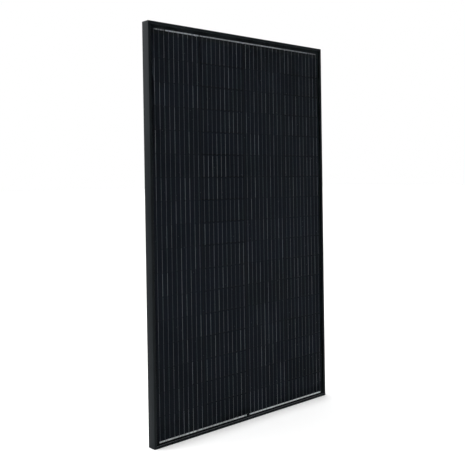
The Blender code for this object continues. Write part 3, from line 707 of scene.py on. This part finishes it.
class GeometryTree:
    """A geometry tree with named inputs, turned into plain meshes."""

    def __init__(self, name: str, sizes: list[str], counts: list[str]) -> None:
        """Start a tree.

        Args:
            name: the tree's name.
            sizes: its inputs that are sizes, 0 unless they are set.
            counts: its inputs that are whole numbers, 1 unless they are set.
        """
        self.tree = bpy.data.node_groups.new(name, "GeometryNodeTree")
        self.graph = Graph(self.tree)
        self.identifiers = {}
        for title in (*sizes, *counts):
            kind = "NodeSocketInt" if title in counts else "NodeSocketFloat"
            item = self.tree.interface.new_socket(name=title, in_out="INPUT", socket_type=kind)
            item.default_value = 1 if title in counts else 0.0
            self.identifiers[title] = item.identifier
        self.tree.interface.new_socket(
            name="Geometry", in_out="OUTPUT", socket_type="NodeSocketGeometry"
        )
        self.inputs = self.tree.nodes.new("NodeGroupInput")

    def __getitem__(self, title: str) -> Sock:
        """One of the tree's inputs."""
        return Sock(self.graph, self.inputs.outputs[title])

    def box(self, x: object, y: object, z: object, steps: tuple = (2, 2, 2)) -> Sock:
        """A block around the origin.

        Args:
            x: its size along X.
            y: its size along Y.
            z: its size along Z.
            steps: its vertices along X, Y and Z.

        Returns:
            The block.
        """
        counts = {"Vertices " + axis: count for axis, count in zip("XYZ", steps)}
        feeds = {"Size": self.graph.vector(x, y, z), **counts}
        return self.graph.out("GeometryNodeMeshCube", None, feeds)

    def moved(self, geometry: Sock, **change: object) -> Sock:
        """Move, turn or scale a geometry."""
        return self.graph.out("GeometryNodeTransform", None, {0: geometry, **change})

    def row(
        self, item: Sock, count: object, start: Sock, step: Sock, turn: Sock | None = None
    ) -> Sock:
        """Copies of an item at equal steps.

        Args:
            item: what is repeated.
            count: how many copies.
            start: where the first one goes.
            step: from each one to the next.
            turn: how each copy is turned.

        Returns:
            The copies.
        """
        feeds = {"Count": count, "Start Location": start, "Offset": step}
        line = self.graph.out("GeometryNodeMeshLine", {"mode": "OFFSET"}, feeds)
        feeds = {"Points": line, "Instance": item, "Rotation": turn or (0.0, 0.0, 0.0)}
        return self.graph.out("GeometryNodeInstanceOnPoints", None, feeds)

    def random(self, low: object, high: object, key: Sock | None = None) -> Sock:
        """A random number for each element, told apart by a key or their order."""
        feeds = {2: low, 3: high, "Seed": self["Seed"], **({"ID": key} if key else {})}
        return self.graph.out("FunctionNodeRandomValue", {"data_type": "FLOAT"}, feeds, 1)

    def wire_grid(self, item: Sock, rows: object, row_pitch: object, level: object) -> Sock:
        """Copies of an item on each wire line, in rows one above another.

        Args:
            item: what is repeated.
            rows: how many rows.
            row_pitch: the height from row to row.
            level: the height of the lowest row.

        Returns:
            The copies.
        """
        graph = self.graph
        count, pitch = self["Columns"], self["Column Pitch"]
        first = self["Middle"] - (count - 1) * pitch / 2
        start = graph.vector(first, self["Depth"], level)
        columns = self.row(item, count, start, graph.vector(x=pitch))
        return self.row(columns, rows, graph.vector(), graph.vector(z=row_pitch))

    def solder_pad(self, width: object, depth: object, length: object) -> Sock:
        """A flat drop of solder around the origin.

        Args:
            width: its size along X.
            depth: its size along Y.
            length: its size along Z.

        Returns:
            The drop.
        """
        feeds = {"Vertices": 8, "Radius": 0.5, "Depth": 1.0}
        disc = self.graph.out("GeometryNodeMeshCylinder", {"fill_type": "NGON"}, feeds)
        upright = self.moved(disc, Rotation=UPRIGHT)
        return self.moved(upright, Scale=self.graph.vector(width, depth, length))

    def tagged(self, geometry: Sock, name: str, low: float = 0.0, high: float = 1.0) -> Sock:
        """Give each loose part of a geometry its own random number.

        Args:
            geometry: the geometry.
            name: the attribute's name.
            low: the least number.
            high: the greatest number.

        Returns:
            The geometry with the attribute on its faces.
        """
        real = self.graph.out("GeometryNodeRealizeInstances", None, {0: geometry})
        island = self.graph.out("GeometryNodeInputMeshIsland")
        return self.stored(real, name, self.random(low, high, island))

    def stored(self, geometry: Sock, name: str, value: object) -> Sock:
        """Store a number on a geometry's faces.

        Args:
            geometry: the geometry.
            name: the attribute's name.
            value: the number.

        Returns:
            The geometry with the attribute.
        """
        feeds = {"Geometry": geometry, "Name": name, "Value": value}
        settings = {"data_type": "FLOAT", "domain": "FACE"}
        return self.graph.out("GeometryNodeStoreNamedAttribute", settings, feeds)

    def end(self, geometry: Sock | list, finish: Finish) -> None:
        """Realise what the tree made and give it its finish.

        Args:
            geometry: the geometry, or a list of geometries to join.
            finish: the finish of all of it.
        """
        graph = self.graph
        joined = graph.out("GeometryNodeJoinGeometry", None, {0: geometry})
        real = graph.out("GeometryNodeRealizeInstances", None, {0: joined})
        feeds = {0: real, "Material": finish.material()}
        coated = graph.out("GeometryNodeSetMaterial", None, feeds)
        graph.node("NodeGroupOutput", None, {0: coated})

    def mesh(self, name: str, values: dict) -> Mesh:
        """Run the tree and keep its result as a plain mesh.

        Args:
            name: the mesh's name.
            values: the inputs that differ from their defaults.

        Returns:
            The mesh.
        """
        carrier = bpy.data.objects.new(name + "_carrier", bpy.data.meshes.new(name + "_carrier"))
        bpy.context.scene.collection.objects.link(carrier)
        modifier = carrier.modifiers.new("make", "NODES")
        modifier.node_group = self.tree
        for title, value in values.items():
            modifier[self.identifiers[title]] = value
        graph = bpy.context.evaluated_depsgraph_get()
        made = bpy.data.meshes.new_from_object(
            carrier.evaluated_get(graph), preserve_all_data_layers=True, depsgraph=graph
        )
        made.name = name
        bpy.data.objects.remove(carrier, do_unlink=True)
        return made


# frame
@dataclass
class RailFrame:
    """The four rails, with finely eased edges, and the keys inside their corners."""

    easing: Easing = Easing(0.0005, 2)
    rails: tuple = (
        ("frame_left", UPRIGHT_ANODISED),
        ("frame_right", UPRIGHT_ANODISED),
        ("frame_top", LEVEL_ANODISED),
        ("frame_bottom", SILL_ANODISED),
    )

    def build(self) -> None:
        """Make the rails and dress the keys."""
        for name, finish in self.rails:
            self.easing.piece(name, finish)
        for side in Side:
            for level in ("top", "bottom"):
                dress("corner_key_%s_%s" % (level, side.word), ALUMINIUM)


# cells and wires
@dataclass
class CellString:
    """One column of cells with the wires down their faces."""

    number: int
    rows: int = 17
    packed_gap: float = 0.0013
    gaps: tuple = (0.0011, 0.0024, 0.0012, 0.0022)
    # how many upper row gaps of each string are darkened by strips of painted shade behind them
    shaded_gap_counts: tuple = (0, 9, 0, 6)
    tilt_share: float = 3.2
    corner: float = 0.0022
    wires: int = 10
    wire_pitch: float = 0.0235
    wire_width: float = 0.0014
    wire_thickness: float = 0.00022
    top_insets: tuple = (0.0026, 0.0052, 0.0028, 0.0046)
    pads: int = 4
    pad_glint: tuple = (0.1, 0.5)
    pad_width: float = 0.0018
    pad_length: float = 0.0030
    dip: float = 0.00045
    dip_length: float = 0.0022
    overlap: float = 0.0008

    def __post_init__(self) -> None:
        """Read the string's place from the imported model."""
        self.low, self.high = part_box("cell_string_%d" % self.number)
        self.wire_low, self.wire_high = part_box("cell_wires_%d" % self.number)
        self.middle = (self.low.x + self.high.x) / 2
        self.gap = self.gaps[self.number - 1]
        self.shaded_gap_count = self.shaded_gap_counts[self.number - 1]
        self.top_inset = self.top_insets[self.number - 1]
        self.pitch = (self.high.z - self.low.z + self.packed_gap) / self.rows
        self.height = self.pitch - self.gap
        self.first = self.low.z + (self.pitch - self.packed_gap) / 2

    @staticmethod
    def plate_tree(finish: Finish) -> GeometryTree:
        """The tree that stacks plates with cut corners, each with its own tone.

        Args:
            finish: the plates' finish.

        Returns:
            The tree.
        """
        sizes = "Width Height Thickness Taper Corner Pitch Middle Depth First Tilt"
        tree = GeometryTree(finish.name + "_stack", sizes.split(), ["Rows", "Seed"])
        graph = tree.graph
        feeds = {"Width": tree["Width"], "Height": tree["Height"]}
        outline = graph.out("GeometryNodeCurvePrimitiveQuadrilateral", {"mode": "RECTANGLE"}, feeds)
        feeds = {"Curve": outline, "Radius": tree["Corner"], "Count": 1}
        cut = graph.out("GeometryNodeFilletCurve", {"mode": "POLY"}, feeds)
        flat = graph.out("GeometryNodeFillCurve", {"mode": "NGONS"}, {0: cut})
        feeds = {"Mesh": flat, "Offset Scale": tree["Thickness"], "Individual": False}
        lifted = graph.node("GeometryNodeExtrudeMesh", {"mode": "FACES"}, feeds)
        body, top = [Sock(graph, lifted.outputs[part]) for part in ("Mesh", "Top")]
        feeds = {0: body, "Selection": top, "Scale": 1 - tree["Taper"]}
        raised = graph.out("GeometryNodeScaleElements", {"domain": "FACE"}, feeds)
        turned = graph.out("GeometryNodeFlipFaces", None, {0: flat})
        joined = graph.out("GeometryNodeJoinGeometry", None, {0: [raised, turned]})
        closed = graph.out("GeometryNodeMergeByDistance", None, {0: joined, "Distance": MERGE})
        plate = tree.moved(closed, Rotation=UPRIGHT)
        start = graph.vector(tree["Middle"], tree["Depth"], tree["First"])
        turn = graph.vector(y=tree.random(-1 * tree["Tilt"], tree["Tilt"]))
        stack = tree.row(plate, tree["Rows"], start, graph.vector(z=tree["Pitch"]), turn)
        tree.end(tree.tagged(stack, "tone"), finish)
        return tree

    @classmethod
    def wire_tree(cls) -> GeometryTree:
        """The tree that lays one stretch of each wire on each cell, bent back at its lower end.

        Returns:
            The tree.
        """
        sizes = ["Width", "Thickness", "Length", "Dip", "Dip Length", "Column Pitch", "Row Pitch"]
        sizes += ["Middle", "Depth", "Level", "Top", "Top Length", "Bottom", "Bottom Length"]
        sizes += ["Pad Width", "Pad Length", "Pad Depth", "Pad Level", "Pad Pitch"]
        tree = GeometryTree("wire_rows", sizes, ["Columns", "Rows", "Pads", "Seed"])
        graph = tree.graph
        width, thickness = tree["Width"], tree["Thickness"]
        bar = tree.box(width, thickness, tree["Length"], (2, 2, 30))
        height = graph.parts(graph.out("GeometryNodeInputPosition"))[2]
        from_end = height + tree["Length"] / 2
        share = 1 - from_end / tree["Dip Length"]
        offset = graph.vector(y=share.ramp(0.0, 1.0) * tree["Dip"])
        bent = graph.out("GeometryNodeSetPosition", None, {"Geometry": bar, "Offset": offset})
        rows = [tree[title] for title in ("Rows", "Row Pitch", "Level")]
        laid = tree.wire_grid(bent, *rows)
        pad = tree.solder_pad(*[tree["Pad " + title] for title in ("Width", "Depth", "Length")])
        start = graph.vector(y=tree["Pad Depth"] / 2, z=-1 * tree["Pad Level"])
        step = graph.vector(z=tree["Pad Pitch"])
        soldered = tree.wire_grid(tree.row(pad, tree["Pads"], start, step), *rows)
        parts = [tree.tagged(laid, "glint"), tree.tagged(soldered, "glint", *cls.pad_glint)]
        for end in ("Top", "Bottom"):
            tail = tree.box(width, thickness, tree[end + " Length"])
            parts.append(tree.tagged(tree.wire_grid(tail, 1, 0.0, tree[end]), "glint"))
        tree.end(parts, TINNED_WIRE)
        return tree

    def wire_places(self) -> list[float]:
        """The X of each wire, from the left."""
        first = self.middle - (self.wires - 1) / 2 * self.wire_pitch
        return [first + wire * self.wire_pitch for wire in range(self.wires)]

    def build_cells(self, tree: GeometryTree) -> None:
        """Make this string's cells.

        Args:
            tree: the tree from plate_tree.
        """
        name = "cells_%d" % self.number
        values = {
            "Width": self.high.x - self.low.x,
            "Height": self.height,
            "Thickness": self.high.y - self.low.y,
            "Corner": self.corner,
            "Pitch": self.pitch,
            "Rows": self.rows,
            "Middle": self.middle,
            "Depth": self.high.y,
            "First": self.first,
            "Tilt": (self.gap - min(self.gaps)) * self.tilt_share,
            "Seed": self.number,
        }
        finish_piece(name, tree.mesh(name, values), SILICON, ["cell_string_%d" % self.number])

    def build_wires(self, tree: GeometryTree) -> None:
        """Make this string's wires.

        Args:
            tree: the tree from wire_tree.
        """
        name = "wires_%d" % self.number
        top_start = self.high.z - self.top_inset - self.overlap
        top_length = self.wire_high.z - top_start
        bottom_start = self.low.z
        bottom_length = bottom_start - self.wire_low.z
        length = self.pitch - self.top_inset
        pad_pitch = (self.height - self.top_inset - 2 * self.pad_length) / (self.pads - 1)
        values = {
            "Width": self.wire_width,
            "Thickness": self.wire_thickness,
            "Length": length,
            "Dip": self.dip,
            "Dip Length": self.dip_length,
            "Columns": self.wires,
            "Rows": self.rows,
            "Column Pitch": self.wire_pitch,
            "Row Pitch": self.pitch,
            "Middle": self.middle,
            "Depth": (self.wire_low.y + self.wire_high.y) / 2,
            "Level": self.first - (self.gap + self.top_inset) / 2,
            "Top": top_start + top_length / 2,
            "Top Length": top_length,
            "Bottom": self.wire_low.z + bottom_length / 2,
            "Bottom Length": bottom_length,
            "Pads": self.pads,
            "Pad Width": self.pad_width,
            "Pad Length": self.pad_length,
            "Pad Depth": self.low.y - self.wire_low.y,
            "Pad Level": length / 2 - self.gap - self.pad_length,
            "Pad Pitch": pad_pitch,
            "Seed": self.number,
        }
        finish_piece(name, tree.mesh(name, values), TINNED_WIRE, ["cell_wires_%d" % self.number])


# bus ribbons
@dataclass
class BusRibbons:
    """Ribbons across the ends of the strings, with a solder joint where each wire meets them."""

    width_share: float = 0.72
    patches: float = 0.8
    patch_scale: float = 2.3
    wave_scale: float = 60.0
    level_scale: float = 40.0
    waviness: float = 0.00006
    joint_radius: float = 0.0013
    joint_rise: float = 0.00045
    joint_stretch: float = 1.25
    joint_glint: tuple = (0.62, 1.0)
    shines: tuple = (
        ("ribbon_top_link", 0.60),
        ("ribbon_top_left", 0.67),
        ("ribbon_top_right", 0.50),
        ("ribbon_top_tab_left", 0.45),
        ("ribbon_top_tab_right", 0.42),
        ("ribbon_bottom_left", 0.79),
        ("ribbon_bottom_right", 0.96),
    )

    def tree(self) -> GeometryTree:
        """The tree that makes one ribbon and its solder joints.

        Returns:
            The tree.
        """
        sizes = "Low High Width Thickness Depth Level Shine Patches Waviness".split()
        sizes += ["Joint Radius", "Joint Rise", "Wire Pitch", "First Run", "Second Run"]
        tree = GeometryTree("bus_ribbon", sizes, ["First Count", "Second Count", "Seed"])
        graph = tree.graph
        low, high = tree["Low"], tree["High"]
        strip = tree.box(high - low, tree["Thickness"], tree["Width"], (120, 2, 3))
        middle = graph.vector((low + high) / 2, tree["Depth"], tree["Level"])
        laid = tree.moved(strip, Translation=middle)
        point = graph.parts(graph.out("GeometryNodeInputPosition"))[0]
        where = graph.vector(point * self.wave_scale, tree["Level"] * self.level_scale)
        feeds = {"Vector": where, "Detail": 1.0}
        wave = graph.out("ShaderNodeTexNoise", None, {**feeds, "Scale": 1.0})
        shift = graph.vector(y=(wave - 0.5) * tree["Waviness"])
        wavy = graph.out("GeometryNodeSetPosition", None, {"Geometry": laid, "Offset": shift})
        patch = graph.out("ShaderNodeTexNoise", None, {**feeds, "Scale": self.patch_scale})
        glint = tree["Shine"] + (patch - 0.5) * tree["Patches"]
        feeds = {"Segments": 10, "Rings": 6, "Radius": tree["Joint Radius"]}
        ball = graph.out("GeometryNodeMeshUVSphere", None, feeds)
        flat = tree["Joint Rise"] / tree["Joint Radius"]
        drop = tree.moved(ball, Scale=graph.vector(1.0, flat, self.joint_stretch))
        parts = [tree.stored(wavy, "glint", glint)]
        for run in ("First", "Second"):
            start = graph.vector(tree[run + " Run"], tree["Depth"], tree["Level"])
            step = graph.vector(x=tree["Wire Pitch"])
            joints = tree.row(drop, tree[run + " Count"], start, step)
            parts.append(tree.tagged(joints, "glint", *self.joint_glint))
        tree.end(parts, TINNED_BUS)
        return tree

    def build(self, strings: list[CellString]) -> None:
        """Make each ribbon. Joints of two strings under one ribbon come as two runs.

        Args:
            strings: the strings that the ribbons join.
        """
        tree = self.tree()
        for seed, (node, shine) in enumerate(self.shines):
            low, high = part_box(node)
            inside = [[x for x in each.wire_places() if low.x < x < high.x] for each in strings]
            runs = [run for run in inside if run] + [[], []]
            values = {
                "Low": low.x,
                "High": high.x,
                "Width": (high.z - low.z) * self.width_share,
                "Thickness": high.y - low.y,
                "Depth": (low.y + high.y) / 2,
                "Level": (low.z + high.z) / 2,
                "Shine": shine,
                "Patches": self.patches,
                "Waviness": self.waviness,
                "Joint Radius": self.joint_radius,
                "Joint Rise": self.joint_rise,
                "Wire Pitch": strings[0].wire_pitch,
                "Seed": seed,
            }
            for title, run in zip(("First", "Second"), runs):
                values[title + " Count"] = len(run)
                values[title + " Run"] = run[0] if run else 0.0
            soldered = tree.mesh(node + "_soldered", values)
            finish_piece(node + "_soldered", soldered, TINNED_BUS, [node])


# leads
@dataclass
class Leads:
    """Strips from the top ribbons to the box, the black film behind the cells, and near-black
    strips behind some row gaps that paint shade into them.
    """

    strip_width: float = 0.006
    cover_width: float = 0.009
    lap: float = 0.002
    clearance: float = 0.0006
    gap_shade_height: float = 0.008
    gap_shade_thickness: float = 0.00014
    gap_shade_corner: float = 0.001
    gap_shade_setback: float = 0.000196
    easing: Easing = Easing(0.00005, 1)

    def build(self, strings: list[CellString]) -> None:
        """Dress the strips, make the film, and lay the painted gap shade.

        Args:
            strings: the strings. Some have painted shade, as near-black strips, behind their upper
                gaps.
        """
        half = self.strip_width / 2
        left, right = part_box("lead_left")[0].x + half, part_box("lead_right")[1].x - half
        for name in ("lead_left", "lead_centre", "lead_right"):
            dress(name, TINNED_STRIP)
        parts = [self.easing.mesh("lead_insulation"), self.tongues((left, 0.0, right))]
        finish_piece("lead_film", joined("lead_film", parts), FILM, ["lead_insulation"])
        # Painted shade: near-black strips behind the upper row gaps of some strings.
        tree = CellString.plate_tree(GAP_SHADE)
        tapes = [self.tapes(string, tree) for string in strings if string.shaded_gap_count]
        finish_piece("gap_tapes", joined("gap_tapes", tapes), GAP_SHADE, [])

    def tongues(self, places: tuple) -> Mesh:
        """Cover each lead between the film and the ribbon.

        Args:
            places: the X of each lead.

        Returns:
            The tongues.
        """
        low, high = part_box("lead_insulation")
        bottom = high.z - self.lap
        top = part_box("ribbon_top_link")[0].z - self.clearance
        size = Matrix.Diagonal((self.cover_width, high.y - low.y, top - bottom, 1.0))
        bm = bmesh.new()
        for x in places:
            place = Matrix.Translation((x, (low.y + high.y) / 2, (bottom + top) / 2))
            bmesh.ops.create_cube(bm, size=1.0, matrix=place @ size)
        mesh = bpy.data.meshes.new("tongues")
        bm.to_mesh(mesh)
        bm.free()
        return mesh

    def tapes(self, string: CellString, tree: GeometryTree) -> Mesh:
        """Lay a near-black strip of painted shade behind each of a string's upper gaps.

        Args:
            string: the string.
            tree: the tree that stacks plates.

        Returns:
            The tapes.
        """
        values = {
            "Width": string.high.x - string.low.x,
            "Height": self.gap_shade_height,
            "Thickness": self.gap_shade_thickness,
            "Corner": self.gap_shade_corner,
            "Pitch": string.pitch,
            "Rows": string.shaded_gap_count,
            "Middle": string.middle,
            "Depth": string.high.y + self.gap_shade_setback,
            "First": string.first + (string.rows - string.shaded_gap_count - 0.5) * string.pitch,
        }
        return tree.mesh("tapes", values)


# backsheet
@dataclass
class Backsheet:
    """The rear film, pressed over the cells so that their outlines stand out on it."""

    rise: float = 0.00014
    root: float = 0.0001
    taper: float = 0.012
    corner: float = 0.006
    margin: float = 0.002
    easing: Easing = Easing(0.00006, 1)

    def build(self, strings: list[CellString]) -> None:
        """Make the film with one raised field behind each cell.

        Args:
            strings: the strings that lie under the film.
        """
        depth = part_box("backsheet")[1].y - self.root
        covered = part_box("junction_box_glue_pad")
        tree = CellString.plate_tree(FILM)
        parts = [self.easing.mesh("backsheet")]
        for string in strings:
            values = {
                "Width": string.high.x - string.low.x - self.margin,
                "Height": string.height - self.margin,
                "Thickness": self.rise + self.root,
                "Taper": self.taper,
                "Corner": self.corner,
                "Pitch": string.pitch,
                "Rows": self.free_rows(string, covered),
                "Middle": string.middle,
                "Depth": depth,
                "First": string.first,
            }
            parts.append(turned_back(tree.mesh("raised_fields", values), depth))
        finish_piece("backsheet_pressed", joined("backsheet_pressed", parts), FILM, ["backsheet"])

    @staticmethod
    def free_rows(string: CellString, covered: tuple) -> int:
        """How many rows of a string, from the lowest up, the box leaves free.

        Args:
            string: the string.
            covered: the corners of what the box covers.

        Returns:
            The number of rows.
        """
        low, high = covered
        if string.high.x < low.x or string.low.x > high.x:
            return string.rows
        return int((low.z - string.low.z) / string.pitch)


# laminate
@dataclass
class Laminate:
    """Glass, encapsulants, strings, ribbons, leads and backsheet, one behind another."""

    strings: int = 4
    glass_easing: Easing = Easing(0.0004, 3)

    def build(self) -> None:
        """Make the cells, wires and ribbons, and dress the sheets."""
        self.glass_easing.piece("front_glass", GLASS)
        dress("front_encapsulant", RESIN)
        dress("rear_encapsulant", DARK_RESIN)
        dress("edge_seal", RUBBER)
        strings = [CellString(number) for number in range(1, self.strings + 1)]
        Leads().build(strings)
        cells = CellString.plate_tree(SILICON)
        for string in strings:
            string.build_cells(cells)
        wires = CellString.wire_tree()
        for string in strings:
            string.build_wires(wires)
        BusRibbons().build(strings)
        Backsheet().build(strings)


# junction box
@dataclass
class JunctionBox:
    """The box on the backsheet with its lid, terminals, diodes and glands."""

    easing: Easing = Easing(0.0003, 2)
    small_easing: Easing = Easing(0.00015, 2)

    lid_ribs: int = 7
    lid_rib_size: tuple = (0.096, 0.0026)
    lid_rib_pitch: float = 0.0075
    lid_rib_rise: float = 0.0007
    lid_rib_taper: float = 0.02
    lid_rib_corner: float = 0.0026 / 3
    lid_middle: float = 0.688
    lid_face: float = 0.0002
    nut_apothem: float = 0.0078
    nut_length: float = 0.009
    grip_size: tuple = (0.0008, 0.0009, 0.0066)
    grip_pitch: float = 0.0019
    root: float = 0.0002

    def build(self) -> None:
        """Make the box's pieces."""
        self.easing.piece("junction_box_base", PLASTIC)
        lid = [self.easing.mesh("junction_box_lid"), self.ribs()]
        ribbed = joined("ribbed_lid", lid)
        finish_piece("ribbed_lid", ribbed, PLASTIC, ["junction_box_lid"], Body.LID)
        dress("junction_box_gasket", RUBBER)
        dress("junction_box_glue_pad", GLUE)
        self.small_easing.piece("lid_hinge_pin", STEEL)
        for name in ("left", "centre", "right"):
            self.small_easing.piece("terminal_" + name, COPPER)
            dress("lead_tail_" + name, TINNED_STRIP)
        grips = self.grip_tree()
        for side in Side:
            self.small_easing.piece("bypass_diode_" + side.word, EPOXY)
            self.easing.piece("cable_gland_" + side.word, PLASTIC)
            node = "gland_nut_" + side.word
            nut = [self.easing.mesh(node), self.grips(node, grips)]
            finish_piece("ribbed_nut_" + side.word, joined("ribbed_nut", nut), PLASTIC, [node])

    def ribs(self) -> Mesh:
        """The ribs across the lid's raised panel.

        Returns:
            The ribs.
        """
        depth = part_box("junction_box_lid")[1].y - self.lid_face - self.root
        values = {
            "Width": self.lid_rib_size[0],
            "Height": self.lid_rib_size[1],
            "Thickness": self.lid_rib_rise + self.root,
            "Taper": self.lid_rib_taper,
            "Corner": self.lid_rib_corner,
            "Pitch": self.lid_rib_pitch,
            "Rows": self.lid_ribs,
            "Depth": depth,
            "First": self.lid_middle - (self.lid_ribs - 1) * self.lid_rib_pitch / 2,
        }
        return turned_back(CellString.plate_tree(PLASTIC).mesh("lid_ribs", values), depth)

    @staticmethod
    def grip_tree() -> GeometryTree:
        """The tree that sets three grip ridges on each flat of a hexagonal nut.

        Returns:
            The tree.
        """
        tree = GeometryTree("nut_grips", "Apothem Rise Width Length Pitch X Y Z".split(), [])
        graph = tree.graph
        pitch = tree["Pitch"]
        bar = tree.box(tree["Rise"], tree["Width"], tree["Length"])
        group = tree.row(bar, 3, graph.vector(y=-1 * pitch), graph.vector(y=pitch))
        feeds = {"Vertices": 6, "Radius": tree["Apothem"]}
        flats = graph.out("GeometryNodeMeshCircle", None, feeds)
        turned = tree.moved(flats, Rotation=(0.0, 0.0, math.pi / 6))
        settings = {"axis": "X", "pivot_axis": "Z"}
        feeds = {"Vector": graph.out("GeometryNodeInputPosition")}
        facing = graph.out("FunctionNodeAlignRotationToVector", settings, feeds)
        feeds = {"Points": turned, "Instance": group, "Rotation": facing}
        ridges = graph.out("GeometryNodeInstanceOnPoints", None, feeds)
        place = graph.vector(tree["X"], tree["Y"], tree["Z"])
        tree.end(tree.moved(ridges, Translation=place), PLASTIC)
        return tree

    def grips(self, node: str, tree: GeometryTree) -> Mesh:
        """The grip ridges of one nut.

        Args:
            node: the nut's node.
            tree: the tree from grip_tree.

        Returns:
            The ridges.
        """
        low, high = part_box(node)
        values = {
            **dict(zip(("Rise", "Width", "Length"), self.grip_size)),
            "Apothem": self.nut_apothem,
            "Pitch": self.grip_pitch,
            "X": (low.x + high.x) / 2,
            "Y": (low.y + high.y) / 2,
            "Z": high.z - self.nut_length / 2,
        }
        return tree.mesh("grips", values)


# studio
@dataclass
class Studio:
    """Pale floor, soft lights and the camera."""

    camera_place: tuple = (-2.0685, -2.2594, 0.2055)
    yaw: float = math.radians(41.889)
    pitch: float = math.radians(-0.640)
    roll: float = math.radians(-0.848)
    lens: float = 54.99
    shift_up: float = -0.0946
    floor_size: float = 160.0
    dark_side: tuple = (0.668, -0.744)
    dark_strength: float = 0.12
    cool: tuple = (0.94, 0.97, 1.0)
    dark_edge: tuple = (-0.3, 0.5)
    sun_strength: float = 2.4
    sun_angle: float = math.radians(6)
    side_light_place: tuple = (-2.3, 1.9, 1.8)
    side_light_target: tuple = (-0.5, 0.0, 1.1)
    side_light_size: float = 1.9
    side_light_power: float = 46.0

    def build(self) -> None:
        """Make the floor, world, lights and camera."""
        self.make_floor()
        self.make_world()
        self.make_lights()
        self.make_camera()
        view = bpy.context.scene.view_settings
        view.view_transform = "Standard"
        view.look = "None"

    def make_floor(self) -> None:
        """Lay the floor under the panel's lower edge."""
        half = self.floor_size / 2
        level = CAD_BOX[0].z
        bm = bmesh.new()
        around = ((-half, -half), (half, -half), (half, half), (-half, half))
        bm.faces.new([bm.verts.new((x, y, level)) for x, y in around])
        mesh = bpy.data.meshes.new("floor")
        bm.to_mesh(mesh)
        bm.free()
        mesh.materials.append(FLOOR.material())
        floor = bpy.data.objects.new("floor", mesh)
        bpy.context.scene.collection.objects.link(floor)

    def make_world(self) -> None:
        """Surround the panel with white light, and leave the side that it mirrors dark."""
        world = bpy.data.worlds.new("soft_white")
        world.use_nodes = True
        world.node_tree.nodes.clear()
        graph = Graph(world.node_tree)
        across, along, _ = graph.parts(graph.out("ShaderNodeTexCoord", output="Generated"))
        towards = across * self.dark_side[0] + along * self.dark_side[1]
        from_dark = towards.ramp(*self.dark_edge)
        seen = graph.out("ShaderNodeLightPath", output="Is Camera Ray")
        lit = 1 - from_dark * (1 - self.dark_strength)
        strength = seen + (1 - seen) * lit
        feeds = {"Color": rgba((1.0, 1.0, 1.0)), "Strength": strength}
        light = graph.out("ShaderNodeBackground", None, feeds)
        graph.node("ShaderNodeOutputWorld", None, {"Surface": light})
        bpy.context.scene.world = world

    def make_lights(self) -> None:
        """Light the floor from straight above and the left rail from behind it."""
        side = bpy.data.lights.new("left_light", "AREA")
        side.color = self.cool
        side.size = self.side_light_size
        side.energy = self.side_light_power
        sun = bpy.data.lights.new("top_light", "SUN")
        sun.energy = self.sun_strength
        sun.angle = self.sun_angle
        beam = Vector(self.side_light_target) - Vector(self.side_light_place)
        aim = beam.to_track_quat("-Z", "Y")
        place = Matrix.Translation(self.side_light_place) @ aim.to_matrix().to_4x4()
        for data, matrix in ((side, place), (sun, Matrix())):
            light = bpy.data.objects.new(data.name, data)
            light.matrix_world = matrix
            bpy.context.scene.collection.objects.link(light)

    def make_camera(self) -> None:
        """Set the camera in front and to the left, level with the upper half."""
        cos_yaw, sin_yaw, cos_pitch = math.cos(self.yaw), math.sin(self.yaw), math.cos(self.pitch)
        ahead = Vector((sin_yaw * cos_pitch, cos_yaw * cos_pitch, math.sin(self.pitch)))
        level = Vector((cos_yaw, -sin_yaw, 0.0))
        above = level.cross(ahead)
        right = level * math.cos(self.roll) + above * math.sin(self.roll)
        up = above * math.cos(self.roll) - level * math.sin(self.roll)
        turn = Matrix((right, up, -ahead)).transposed()
        data = bpy.data.cameras.new("camera")
        data.lens = self.lens
        data.shift_y = self.shift_up
        camera = bpy.data.objects.new("camera", data)
        camera.matrix_world = Matrix.Translation(self.camera_place) @ turn.to_4x4()
        bpy.context.scene.collection.objects.link(camera)
        bpy.context.scene.camera = camera


def main() -> None:
    """Build the studio and every sub-assembly."""
    logging.basicConfig(level=logging.INFO, format="%(message)s")
    Studio().build()
    RailFrame().build()
    Laminate().build()
    JunctionBox().build()


if __name__ == "__main__":
    main()
